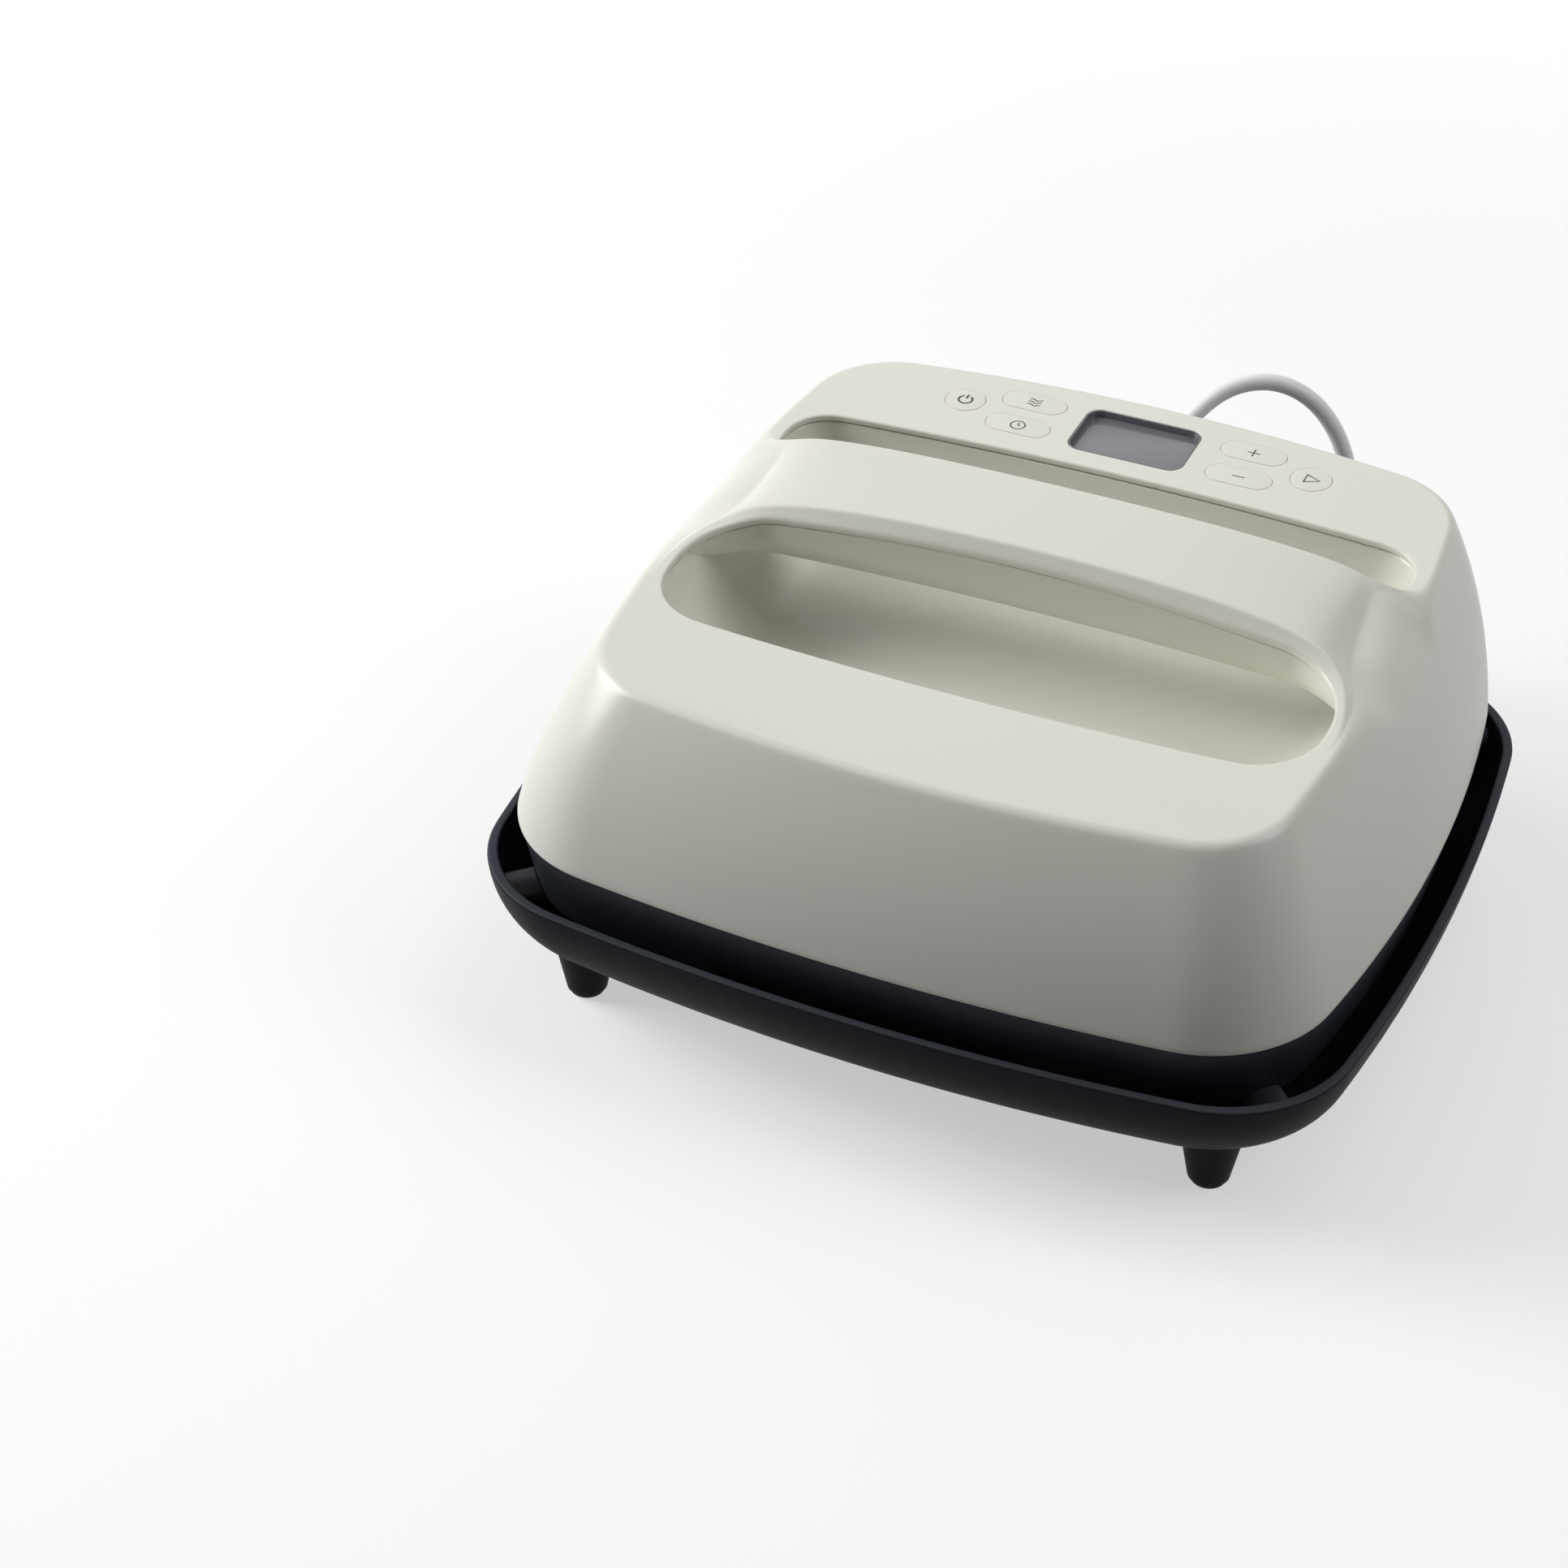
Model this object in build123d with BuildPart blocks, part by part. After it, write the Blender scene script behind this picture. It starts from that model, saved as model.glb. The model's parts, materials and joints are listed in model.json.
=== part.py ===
"""Handheld heat press resting in its stand, with a hollow arched handle. Millimetres, +Z up, front at -Y."""
import os
from math import cos, dist, pi, radians, sin, tan

from build123d import *

os.makedirs("parts", exist_ok=True)

# Clearances and overruns shared by every piece
seat_gap = 0.3
slide_gap = 0.35
screw_gap = 0.12
cut_over = 4.0

# Stand: a bowl-shaped tray on four feet
rim_reach_x = 8.8
rim_reach_y = 7.3
rim_height = 57.0
rim_side_bow = 12.0
rim_end_bow = 13.5
rim_corner = 51.6
tray_height = 33.0
tray_taper = 17.0
tray_wall = 3.6
tray_floor = 3.0
tray_rim_round = 1.2
foot_inset_x = 50.0
foot_inset_y = 39.3
foot_top_dia = 25.0
foot_bottom_dia = 15.5
foot_pad_dia = 13.0
foot_pad_height = 2.0
support_thickness = 16.0
support_reach = 34.0
support_lip = 8.0
support_round = 7.0

# Heat plate and the pieces stacked on it
plate_width = 305.0
plate_depth = 254.0
plate_thickness = 12.0
plate_corner = 40.0
plate_side_bow = 14.0
plate_end_bow = 10.0
plate_edge_round = 2.0
plate_proud = 2.0
element_dia = 8.0
element_side = 34.5
element_end = 41.5
element_passes = 4
terminal_dia = 5.0
terminal_height = 22.0
sensor_length = 13.0
sensor_width = 8.0
sensor_height = 4.0
fuse_dia = 4.0
fuse_length = 18.0
fuse_round = 1.0
fuse_x = 46.0
mat_side = 10.5
mat_end = 10.0
mat_corner = 45.0
mat_thickness = 10.0
shield_thickness = 1.0
standoff_dia = 10.0
standoff_side = 52.5

# Lower housing: the dark skirt with its web
skirt_height = 28.0
skirt_inset = 0.9
skirt_taper = 5.0
skirt_wall = 2.6
web_thickness = 2.5

# Upper housing: one lofted form that the two decks are cut from
base_reach_x = 13.7
base_reach_y = 19.0
base_lift = 17.1
base_side_bow = 16.0
base_end_bow = 11.4
base_corner = 51.0
flank_bulge = 3.6
deck_side_set = 28.0
deck_front_set = 30.2
deck_rear_out = 2.5
deck_lift = 85.3
deck_tilt = 2.0
deck_side_bow = 9.7
deck_end_bow = 12.2
deck_corner = 36.0
deck_edge_round = 2.6
wall = 2.8
deck_skim = 0.4
strap_depth = 44.0
strap_line_back = 21.0
strap_rise = 17.0
strap_tilt = 9.5
strap_rear_lip = 1.0
strap_rear_round = 15.0
strap_front_back = 5.7
strap_front_rise = 13.2
strap_ramp_start_fore = 53.7
strap_ramp_end_fore = 13.3
strap_ramp_rise = 3.4

# Shares for the form above the deck: width, front reach, rear reach, corner and bow, rise, tilt
strap_form_shares = (
    (0.948, 0.892, 0.911, 0.94, 0.327, 0.27),
    (0.861, 0.789, 0.827, 0.88, 0.662, 0.60),
    (0.731, 0.652, 0.717, 0.82, 0.903, 0.87),
    (0.579, 0.480, 0.608, 0.76, 1.000, 1.00),
)
# Shares of the height for the sections of the flanks, from the foot up to the deck
flank_shares = (0.0, 0.5, 1.0)
# Shares of the depth and of the taper for the sections of the tray and of the bowl
tray_profile_shares = ((0.0, 0.0), (0.25, 0.06), (0.66, 0.36), (1.0, 1.0))
bowl_profile_shares = ((0.0, 0.0), (0.45, 0.16), (0.82, 0.5), (1.0, 1.0))
# Share of the room beside the strap that the hand opening takes, and shares of each opening's depth
hand_room_share = 0.6241
hand_front_bow_share = 0.068
hand_rear_bow_share = 0.085
hand_corner_share = 0.383
slot_front_bow_share = 0.024
slot_rear_bow_share = 0.142
slot_front_corner_share = 0.33
slot_rear_corner_share = 0.47

# Hand opening, finger slot and the bowl below them
front_deck_depth = 54.4
rear_deck_depth = 53.1
hand_band = 8.6
hand_side_bow = 2.5
slot_band = 10.2
slot_side_bow = 1.5
bowl_floor_lift = 42.0
bowl_taper_side = 23.6
bowl_taper_front = 27.4
bowl_taper_rear = 23.4
bowl_floor_corner = 34.0
bowl_bow = 5.0
bowl_wall = 2.2
bowl_flange = 3.0
bowl_flange_thickness = 2.0
grip_bottom_lift = 71.0
grip_round = 11.0
grip_wall = 2.4

# Display and buttons on the rear deck
display_width = 48.0
display_height = 31.3
display_corner = 6.0
display_back = 27.3
display_sink = 0.8
lens_gap = 0.2
lens_flange = 2.0
lens_flange_thickness = 1.2
module_border = 2.0
button_proud = 0.1
button_travel = 0.6
button_flange = 1.4
button_flange_thickness = 1.0
button_stem_dia = 4.0
button_stem_length = 0.2
round_button_dia = 16.4
round_button_x = 72.3
round_button_back = 26.7
pill_length = 27.0
pill_width = 12.4
pill_x = 46.0
pill_front_back = 36.0
pill_rear_back = 17.8
switch_size = 6.0
switch_height = 3.0
switch_plunger_dia = 3.2

# Boards and the pieces on them
control_board_width = 172.0
control_board_depth = 36.0
control_board_back = 27.1
control_board_drop = 8.6
board_thickness = 1.6
control_boss_dia = 7.0
control_boss_inset_x = 6.0
control_boss_inset_y = 4.6
screw_dia = 2.8
screw_head_dia = 5.4
screw_head_height = 2.0
screw_length = 6.0
buzzer_dia = 12.0
buzzer_height = 6.0
buzzer_round = 1.0
buzzer_end = 28.0
power_board_width = 150.0
power_board_depth = 52.0
power_board_back = 18.8
power_post_height = 6.0
power_post_dia = 7.0
power_post_inset = 4.5
transformer_width = 34.0
transformer_depth = 28.0
transformer_height = 24.0
transformer_core = 12.0
transformer_round = 4.0
transformer_end = 33.0
relay_width = 20.0
relay_depth = 16.0
relay_height = 16.0
relay_round = 1.0
relay_x = 8.0
block_width = 27.0
block_depth = 12.0
block_height = 13.0
block_ways = 3
block_hole_dia = 4.2
block_end = 27.0

# Screws that hold the lower housing to the upper housing
boss_dia = 10.0
boss_side = 33.2
boss_front_set = 36.0
boss_rear_set = 34.0
housing_screw_dia = 3.8
housing_screw_head_dia = 7.0
housing_screw_head_height = 2.4
housing_screw_length = 18.0

# Cord, its boot, coil, tie and plug
cord_dia = 7.0
boot_length = 32.0
boot_base_dia = 17.0
boot_tip_dia = 10.5
boot_neck_dia = 13.0
boot_neck_length = 18.0
boot_collar_dia = 18.0
boot_grooves = 5
boot_groove_depth = 0.9
boot_groove_width = 1.8
boot_plain_share = 0.28
# Points of the cord: place across, distance behind the rear deck's edge, height
cord_route = (
    (-1.0, 21.1, 119.6),
    (6.5, 30.1, 131.2),
    (17.2, 40.7, 139.9),
    (31.4, 50.9, 140.4),
    (45.4, 57.8, 132.6),
    (56.4, 61.3, 118.6),
    (63.8, 62.1, 100.4),
    (66.8, 60.1, 80.4),
    (65.2, 56.3, 60.0),
    (59.4, 51.7, 40.8),
    (49.6, 47.3, 24.4),
    (35.6, 43.9, 12.4),
    (18.6, 41.9, 6.2),
    (1.2, 41.5, 4.8),
    (-15.0, 41.5, 4.8),
)
cord_round_share = 0.45
coil_outer = 55.0
coil_pitch = 14.0
coil_layer_step = 10.4
coil_half_turns_in = 5
coil_tail = 50.0
tie_width = 12.0
tie_thickness = 1.0
tie_round = 3.0
plug_length = 34.0
plug_width = 30.0
plug_round = 5.0
plug_neck_length = 14.0
plug_neck_dia = 12.0
blade_length = 17.5
blade_width = 6.3
blade_thickness = 1.5
blade_spread = 12.7
blade_rise = 3.0
ground_pin_dia = 4.8
ground_pin_length = 20.0
ground_pin_drop = 8.9

# Plan of the press and the stand, worked out from the plate
base_width = plate_width + 2 * base_reach_x
base_depth = plate_depth + 2 * base_reach_y
rim_width = base_width + 2 * rim_reach_x
rim_depth = base_depth + 2 * rim_reach_y
foot_spread_x = rim_width - 2 * foot_inset_x
foot_spread_y = rim_depth - 2 * foot_inset_y
element_width = plate_width - 2 * element_side
element_pitch = (plate_depth - 2 * element_end) / (element_passes - 1)
mat_width = plate_width - 2 * mat_side
mat_depth = plate_depth - 2 * mat_end
standoff_spread_x = plate_width - 2 * standoff_side
standoff_spread_y = 2 * element_pitch
boss_x = base_width / 2 - boss_side
boss_front = base_depth / 2 - boss_front_set
boss_rear = base_depth / 2 - boss_rear_set

# Plan of the decks, the strap, its openings and the controls
deck_width = base_width - 2 * deck_side_set
deck_front = base_depth / 2 - deck_front_set
deck_rear = base_depth / 2 + deck_rear_out
hand_width = deck_width - 2 * hand_band
slot_width = deck_width - 2 * slot_band
hand_front = deck_front - front_deck_depth
slot_rear = deck_rear - rear_deck_depth
hand_depth = hand_room_share * (hand_front + slot_rear - strap_depth)
hand_rear = hand_depth - hand_front
hand_front_bow = hand_front_bow_share * hand_depth
hand_rear_bow = hand_rear_bow_share * hand_depth
hand_corner = hand_corner_share * hand_depth
slot_front = hand_rear + strap_depth
slot_depth = slot_rear - slot_front
slot_front_bow = slot_front_bow_share * slot_depth
slot_rear_bow = slot_rear_bow_share * slot_depth
slot_front_corner = slot_front_corner_share * slot_depth
slot_rear_corner = slot_rear_corner_share * slot_depth
strap_line = hand_rear + strap_line_back
strap_rear = slot_front + strap_rear_lip
strap_front = hand_rear + strap_front_back
strap_ramp_start = strap_ramp_start_fore - hand_rear
strap_ramp_end = strap_ramp_end_fore - hand_rear
bowl_floor_width = hand_width - 2 * bowl_taper_side
bowl_floor_front = hand_front - bowl_taper_front
bowl_floor_rear = slot_rear - bowl_taper_rear
display_row = deck_rear - display_back
round_button_row = deck_rear - round_button_back
pill_front_row = deck_rear - pill_front_back
pill_rear_row = deck_rear - pill_rear_back
control_board_row = deck_rear - control_board_back
power_board_y = power_board_back - deck_front
buzzer_x = control_board_width / 2 - buzzer_end
transformer_x = transformer_end - power_board_width / 2
block_x = power_board_width / 2 - block_end
route = [Vector(x, deck_rear + back, height) for x, back, height in cord_route]

# Levels worked out from the driving sizes
tray_bottom = rim_height - tray_height
tray_inside = tray_bottom + tray_floor
housing_bottom = rim_height + base_lift
web_bottom = housing_bottom - web_thickness
skirt_bottom = housing_bottom - skirt_height
plate_bottom = skirt_bottom - plate_proud
plate_top = plate_bottom + plate_thickness
shield_bottom = web_bottom - shield_thickness
mat_bottom = shield_bottom - mat_thickness
deck_origin = rim_height + deck_lift
bowl_floor = rim_height + bowl_floor_lift
grip_bottom = rim_height + grip_bottom_lift
power_board_bottom = housing_bottom + power_post_height
power_board_top = power_board_bottom + board_thickness
board_bottom_drop = control_board_drop + board_thickness


def deck_height(y):
    """Height of the tilted deck plane at a distance y behind the middle."""
    return deck_origin + y * tan(radians(deck_tilt))


def tilted_plane(y, z, tilt):
    """Plane through (0, y, z) that climbs towards the rear by tilt degrees."""
    slope = radians(tilt)
    return Plane(origin=(0, y, z), x_dir=(1, 0, 0), z_dir=(0, -sin(slope), cos(slope)))


def deck_plane(drop):
    """Plane parallel to the decks, sunk by drop below them."""
    return tilted_plane(0, deck_origin, deck_tilt).offset(-drop)


def side_plane(y, z):
    """Plane of the front-to-rear profiles: local x runs along +Y and local y along +Z."""
    return Plane(origin=(0, y, z), x_dir=(0, 1, 0), z_dir=(1, 0, 0))


def bowed_outline(plane, width, front, rear, side_bow, front_bow, rear_bow, corner, rear_corner=None):
    """Rounded rectangle whose four sides bow outwards, from y = front to y = rear on the plane."""
    middle = (front + rear) / 2
    corner_x = width / 2 - side_bow
    front_left = (-corner_x, front + front_bow)
    front_right = (corner_x, front + front_bow)
    rear_left = (-corner_x, rear - rear_bow)
    rear_right = (corner_x, rear - rear_bow)
    with BuildSketch(plane) as outline:
        with BuildLine():
            ThreePointArc(front_left, (0, front), front_right)
            ThreePointArc(front_right, (width / 2, middle), rear_right)
            ThreePointArc(rear_right, (0, rear), rear_left)
            ThreePointArc(rear_left, (-width / 2, middle), front_left)
        make_face()
        fillet(outline.vertices().sort_by(Axis.Y)[:2], corner)
        fillet(outline.vertices().sort_by(Axis.Y)[-2:], rear_corner or corner)
    return outline.sketch


def tray_form(inset, floor_lift):
    """Bowl of the tray, drawn in by inset and with its floor raised by floor_lift."""
    sections = []
    for depth_share, taper_share in tray_profile_shares:
        shrink = inset + taper_share * tray_taper
        level = rim_height - depth_share * (tray_height - floor_lift)
        sections.append(bowed_outline(
            Plane.XY.offset(level), rim_width - 2 * shrink, shrink - rim_depth / 2, rim_depth / 2 - shrink,
            rim_side_bow, rim_end_bow, rim_end_bow, rim_corner - shrink / 2))
    with BuildPart() as form:
        loft(sections)
    return form.part


def skirt_outline(level, inset):
    """Outline of the dark skirt at a level, which tapers in towards its lower edge."""
    taper_share = (housing_bottom - level) / skirt_height
    shrink = skirt_inset + taper_share * skirt_taper + inset
    return bowed_outline(
        Plane.XY.offset(level), base_width - 2 * shrink, shrink - base_depth / 2, base_depth / 2 - shrink,
        base_side_bow, base_end_bow, base_end_bow, base_corner - shrink)


def housing_form(inset, edge_round):
    """Moulded form of the upper housing, drawn in by inset: flanks, two decks and the arched strap."""
    strap_foot = deck_height(strap_line) + deck_skim - inset
    front_reach = deck_front + strap_line
    rear_reach = deck_rear - strap_line
    sections = []
    for share in flank_shares:
        bulge = 4 * flank_bulge * share * (1 - share) - inset
        level = housing_bottom + share * (deck_origin + deck_skim - inset - housing_bottom)
        if inset and not share:
            level = level - cut_over
        sections.append(bowed_outline(
            tilted_plane(0, level, share * deck_tilt),
            base_width + share * (deck_width - base_width) + 2 * bulge,
            -base_depth / 2 - share * (deck_front - base_depth / 2) - bulge,
            base_depth / 2 + share * (deck_rear - base_depth / 2) + bulge,
            base_side_bow + share * (deck_side_bow - base_side_bow),
            base_end_bow + share * (deck_end_bow - base_end_bow),
            base_end_bow + share * (deck_end_bow - base_end_bow),
            base_corner + share * (deck_corner - base_corner) - inset))
    for width_share, front_share, rear_share, bow_share, rise_share, tilt_share in strap_form_shares:
        tilt = deck_tilt + tilt_share * (strap_tilt - deck_tilt)
        sections.append(bowed_outline(
            tilted_plane(strap_line, strap_foot + rise_share * strap_rise, tilt),
            width_share * deck_width - 2 * inset, inset - front_share * front_reach,
            rear_share * rear_reach - inset, bow_share * deck_side_bow, bow_share * deck_end_bow,
            bow_share * deck_end_bow, bow_share * deck_corner - inset))
    far = base_depth
    deck_drop = inset / cos(radians(deck_tilt))
    ramp_start = (-strap_ramp_start, deck_height(-strap_ramp_start))
    ramp_end = (-strap_ramp_end, deck_origin + strap_ramp_rise)
    ramp_top = (strap_front, deck_height(strap_front) + strap_front_rise)
    with BuildPart() as form:
        loft(sections[:len(flank_shares)])
        loft(sections[len(flank_shares) - 1:])
        # Front deck: flat, then swept up in two arcs into the front face of the strap
        with BuildSketch(side_plane(inset / 2, inset / 2 * tan(radians(deck_tilt)) - deck_drop)):
            with BuildLine():
                flat = Line((-far, deck_height(-far)), ramp_start)
                sweep_up = TangentArc(ramp_start, ramp_end, tangent=flat % 1)
                face_up = TangentArc(ramp_end, ramp_top, tangent=sweep_up % 1)
                rise = Line(ramp_top, Vector(*ramp_top) + (face_up % 1) * deck_front)
                Polyline(rise @ 1, (-far, (rise @ 1).Y), flat @ 0)
            make_face()
        extrude(amount=base_width, both=True, mode=Mode.SUBTRACT)
        # Rear deck: flat up to the strap, with a cove at the strap's rear face
        rear_face = strap_rear - inset
        with BuildSketch(side_plane(0, -deck_drop)) as rear_profile:
            with BuildLine():
                Polyline(
                    (rear_face, deck_origin + deck_rear), (rear_face, deck_height(rear_face)),
                    (far, deck_height(far)), (far, deck_origin + deck_rear), close=True)
            make_face()
            fillet(rear_profile.vertices().sort_by(Axis.Y)[0], strap_rear_round)
        extrude(amount=base_width, both=True, mode=Mode.SUBTRACT)
        if edge_round:
            up = deck_plane(0).z_dir
            decks = form.faces().filter_by(
                lambda face: up.get_angle(face.normal_at()) < strap_tilt - 3 * deck_tilt)
            fillet(decks.edges().filter_by(lambda edge: edge.geom_type != GeomType.LINE), edge_round)
    return form.part


def hand_outline(grow):
    """Plan of the hand opening in front of the strap, grown by a clearance."""
    return bowed_outline(
        Plane.XY.offset(bowl_floor), hand_width + 2 * grow, -hand_front - grow, hand_rear + grow,
        hand_side_bow, hand_front_bow, hand_rear_bow, hand_corner + grow)


def slot_outline(grow):
    """Plan of the finger slot behind the strap, grown by a clearance."""
    return bowed_outline(
        Plane.XY.offset(bowl_floor), slot_width + 2 * grow, slot_front - grow, slot_rear + grow,
        slot_side_bow, slot_front_bow, slot_rear_bow, slot_front_corner + grow, slot_rear_corner + grow)


def bowl_section(taper_share, inset, plane):
    """Outline of the bowl at a share of its taper, on a plane."""
    front = -hand_front + taper_share * (hand_front - bowl_floor_front)
    rear = slot_rear + taper_share * (bowl_floor_rear - slot_rear)
    width = hand_width + taper_share * (bowl_floor_width - hand_width)
    corner = hand_corner + taper_share * (bowl_floor_corner - hand_corner)
    return bowed_outline(
        plane, width - 2 * inset, front + inset, rear - inset,
        hand_side_bow, bowl_bow, bowl_bow, corner - inset)


def bowl_form(inset, floor_lift, open_top):
    """Inside of the bowl, drawn in by inset, up to the deck's underside or on past it."""
    mouth = deck_origin - wall / cos(radians(deck_tilt))
    sections = []
    for depth_share, taper_share in bowl_profile_shares:
        level = mouth - depth_share * (mouth - bowl_floor - floor_lift)
        plane = tilted_plane(0, level, (1 - depth_share) * deck_tilt)
        sections.append(bowl_section(taper_share, inset, plane))
    with BuildPart() as form:
        loft(sections)
        if open_top:
            extrude(form.faces().sort_by(Axis.Z)[-1], amount=2 * strap_rise)
    return form.part


def grip_block(inset):
    """Solid under the strap between the two openings, drawn in by inset, with its lower edges rounded."""
    front = hand_rear - hand_rear_bow - hand_corner
    rear = slot_front + slot_front_bow + slot_front_corner
    with BuildPart() as block:
        with BuildSketch(Plane.XY.offset(grip_bottom + inset)):
            with Locations((0, (front + rear) / 2)):
                Rectangle(hand_width + 2 * hand_corner, rear - front)
            add(hand_outline(seat_gap + inset), mode=Mode.SUBTRACT)
            add(slot_outline(seat_gap + inset), mode=Mode.SUBTRACT)
        extrude(amount=deck_lift)
        lower_edges = block.edges().filter_by(GeomType.CIRCLE).group_by(Axis.Z)[0]
        fillet(lower_edges, grip_round - inset)
    return block.part


corner_names = {"front_left": (-1, -1), "front_right": (1, -1), "rear_left": (-1, 1), "rear_right": (1, 1)}
outer_form = housing_form(0, deck_edge_round)

# Base tray: thin-walled bowl with a rounded rim
with BuildPart() as base_tray:
    add(tray_form(0, 0))
    add(tray_form(tray_wall, tray_floor), mode=Mode.SUBTRACT)
    fillet(base_tray.faces().sort_by(Axis.Z)[-1].edges(), tray_rim_round)
base_tray.part.label = "base_tray"
export_step(base_tray.part, "parts/base_tray.step")

# Feet: cones that fade into the tray's rounded underside, each with a soft pad
tray_outside = tray_form(-seat_gap, 0)
for corner_name, (side_x, side_y) in corner_names.items():
    foot_place = (side_x * foot_spread_x / 2, side_y * foot_spread_y / 2)
    with BuildPart() as foot:
        with BuildSketch(Plane.XY.offset(foot_pad_height)):
            with Locations(foot_place):
                Circle(foot_bottom_dia / 2)
        with BuildSketch(Plane.XY.offset(tray_inside)):
            with Locations(foot_place):
                Circle(foot_top_dia / 2)
        loft()
        add(tray_outside, mode=Mode.SUBTRACT)
    foot.part.label = f"tray_foot_{corner_name}"
    export_step(foot.part, f"parts/tray_foot_{corner_name}.step")

    with BuildPart() as foot_pad:
        with BuildSketch():
            with Locations(foot_place):
                Circle(foot_pad_dia / 2)
        extrude(amount=foot_pad_height)
    foot_pad.part.label = f"foot_pad_{corner_name}"
    export_step(foot_pad.part, f"parts/foot_pad_{corner_name}.step")

# Corner supports: diagonal ribs that carry the plate, with a lip that keeps the skirt in place
tray_room = tray_form(tray_wall + seat_gap, tray_floor)
with BuildPart() as press_room:
    loft([skirt_outline(plate_bottom - seat_gap, -slide_gap), skirt_outline(housing_bottom, -slide_gap)])
for corner_name, (side_x, side_y) in corner_names.items():
    corner_x = side_x * (plate_width / 2 - plate_corner)
    corner_y = side_y * (plate_depth / 2 - plate_corner)
    rib_plane = Plane(origin=(corner_x, corner_y, tray_inside), x_dir=(side_x, side_y, 0), z_dir=(0, 0, 1))
    with BuildPart() as support:
        with BuildSketch(rib_plane):
            with Locations((plate_corner - support_reach, 0)):
                Rectangle(rim_corner + support_reach, support_thickness, align=(Align.MIN, Align.CENTER))
        extrude(amount=plate_bottom + support_lip - tray_inside)
        fillet(support.faces().sort_by(Axis.Z)[-1].edges().sort_by(SortBy.LENGTH)[-2:], support_round)
        add(tray_room, mode=Mode.INTERSECT)
        add(press_room.part, mode=Mode.SUBTRACT)
    support.part.label = f"corner_support_{corner_name}"
    export_step(support.part, f"parts/corner_support_{corner_name}.step")

# Heating element: one tube bent to and fro, with upright terminals at its ends
element_run = element_width / 2 - element_pitch / 2
element_first = element_pitch * (element_passes - 1) / 2
with BuildLine(Plane.XY.offset(plate_top)) as element_path:
    for index in range(element_passes):
        row = element_first - index * element_pitch
        way = 1 if index % 2 == 0 else -1
        Line((-way * element_run, row), (way * element_run, row))
        if index < element_passes - 1:
            bend = (way * (element_run + element_pitch / 2), row - element_pitch / 2)
            ThreePointArc((way * element_run, row), bend, (way * element_run, row - element_pitch))
terminal_places = [(-element_run, element_first), (-element_run, -element_first)]
with BuildPart() as heating_element:
    with BuildSketch(Plane(origin=(-element_run, element_first, plate_top), z_dir=(1, 0, 0))):
        Circle(element_dia / 2)
    sweep(path=element_path.wires()[0])
    with BuildSketch(Plane.XY.offset(plate_top)):
        with Locations(*terminal_places):
            Circle(terminal_dia / 2)
    extrude(amount=terminal_height)
heating_element.part.label = "heating_element"
export_step(heating_element.part, "parts/heating_element.step")

# Heat plate with the groove that the element lies in and a hole under each standoff
with BuildPart() as heat_plate:
    with BuildSketch(Plane.XY.offset(plate_bottom)):
        add(bowed_outline(
            Plane.XY, plate_width, -plate_depth / 2, plate_depth / 2,
            plate_side_bow, plate_end_bow, plate_end_bow, plate_corner))
    extrude(amount=plate_thickness)
    fillet(heat_plate.faces().sort_by(Axis.Z)[0].edges(), plate_edge_round)
    with BuildSketch(Plane(origin=(-element_run, element_first, plate_top), z_dir=(1, 0, 0))):
        Circle(element_dia / 2 + seat_gap)
    sweep(path=element_path.wires()[0], mode=Mode.SUBTRACT)
    with BuildSketch(Plane.XY.offset(plate_top)):
        with Locations(*terminal_places):
            Circle(element_dia / 2 + seat_gap)
    extrude(amount=-element_dia / 2 - seat_gap, mode=Mode.SUBTRACT)
heat_plate.part.label = "heat_plate"
export_step(heat_plate.part, "parts/heat_plate.step")

# Temperature sensor and thermal fuse on the plate, between the element's runs
with BuildPart() as temperature_sensor:
    with BuildSketch(Plane.XY.offset(plate_top)):
        SlotOverall(sensor_length, sensor_width)
    extrude(amount=sensor_height)
temperature_sensor.part.label = "temperature_sensor"
export_step(temperature_sensor.part, "parts/temperature_sensor.step")

with BuildPart() as thermal_fuse:
    with BuildSketch(Plane(origin=(fuse_x, 0, plate_top + fuse_dia / 2 + seat_gap), z_dir=(1, 0, 0))):
        Circle(fuse_dia / 2)
    extrude(amount=fuse_length)
    fillet(thermal_fuse.edges(), fuse_round)
thermal_fuse.part.label = "thermal_fuse"
export_step(thermal_fuse.part, "parts/thermal_fuse.step")

# Insulation mat and heat shield: sheets with holes for the terminals and the standoffs
with BuildPart() as insulation_mat:
    with BuildSketch(Plane.XY.offset(mat_bottom)):
        RectangleRounded(mat_width, mat_depth, mat_corner)
        with Locations(*terminal_places):
            Circle(terminal_dia / 2 + cut_over, mode=Mode.SUBTRACT)
        with GridLocations(standoff_spread_x, standoff_spread_y, 2, 2):
            Circle(standoff_dia / 2 + seat_gap, mode=Mode.SUBTRACT)
    extrude(amount=mat_thickness)
insulation_mat.part.label = "insulation_mat"
export_step(insulation_mat.part, "parts/insulation_mat.step")

with BuildPart() as heat_shield:
    with BuildSketch(Plane.XY.offset(shield_bottom)):
        RectangleRounded(mat_width, mat_depth, mat_corner)
        with Locations(*terminal_places):
            Circle(terminal_dia / 2 + cut_over, mode=Mode.SUBTRACT)
        with GridLocations(standoff_spread_x, standoff_spread_y, 2, 2):
            Circle(standoff_dia / 2 + seat_gap, mode=Mode.SUBTRACT)
    extrude(amount=shield_thickness)
heat_shield.part.label = "heat_shield"
export_step(heat_shield.part, "parts/heat_shield.step")

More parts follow.
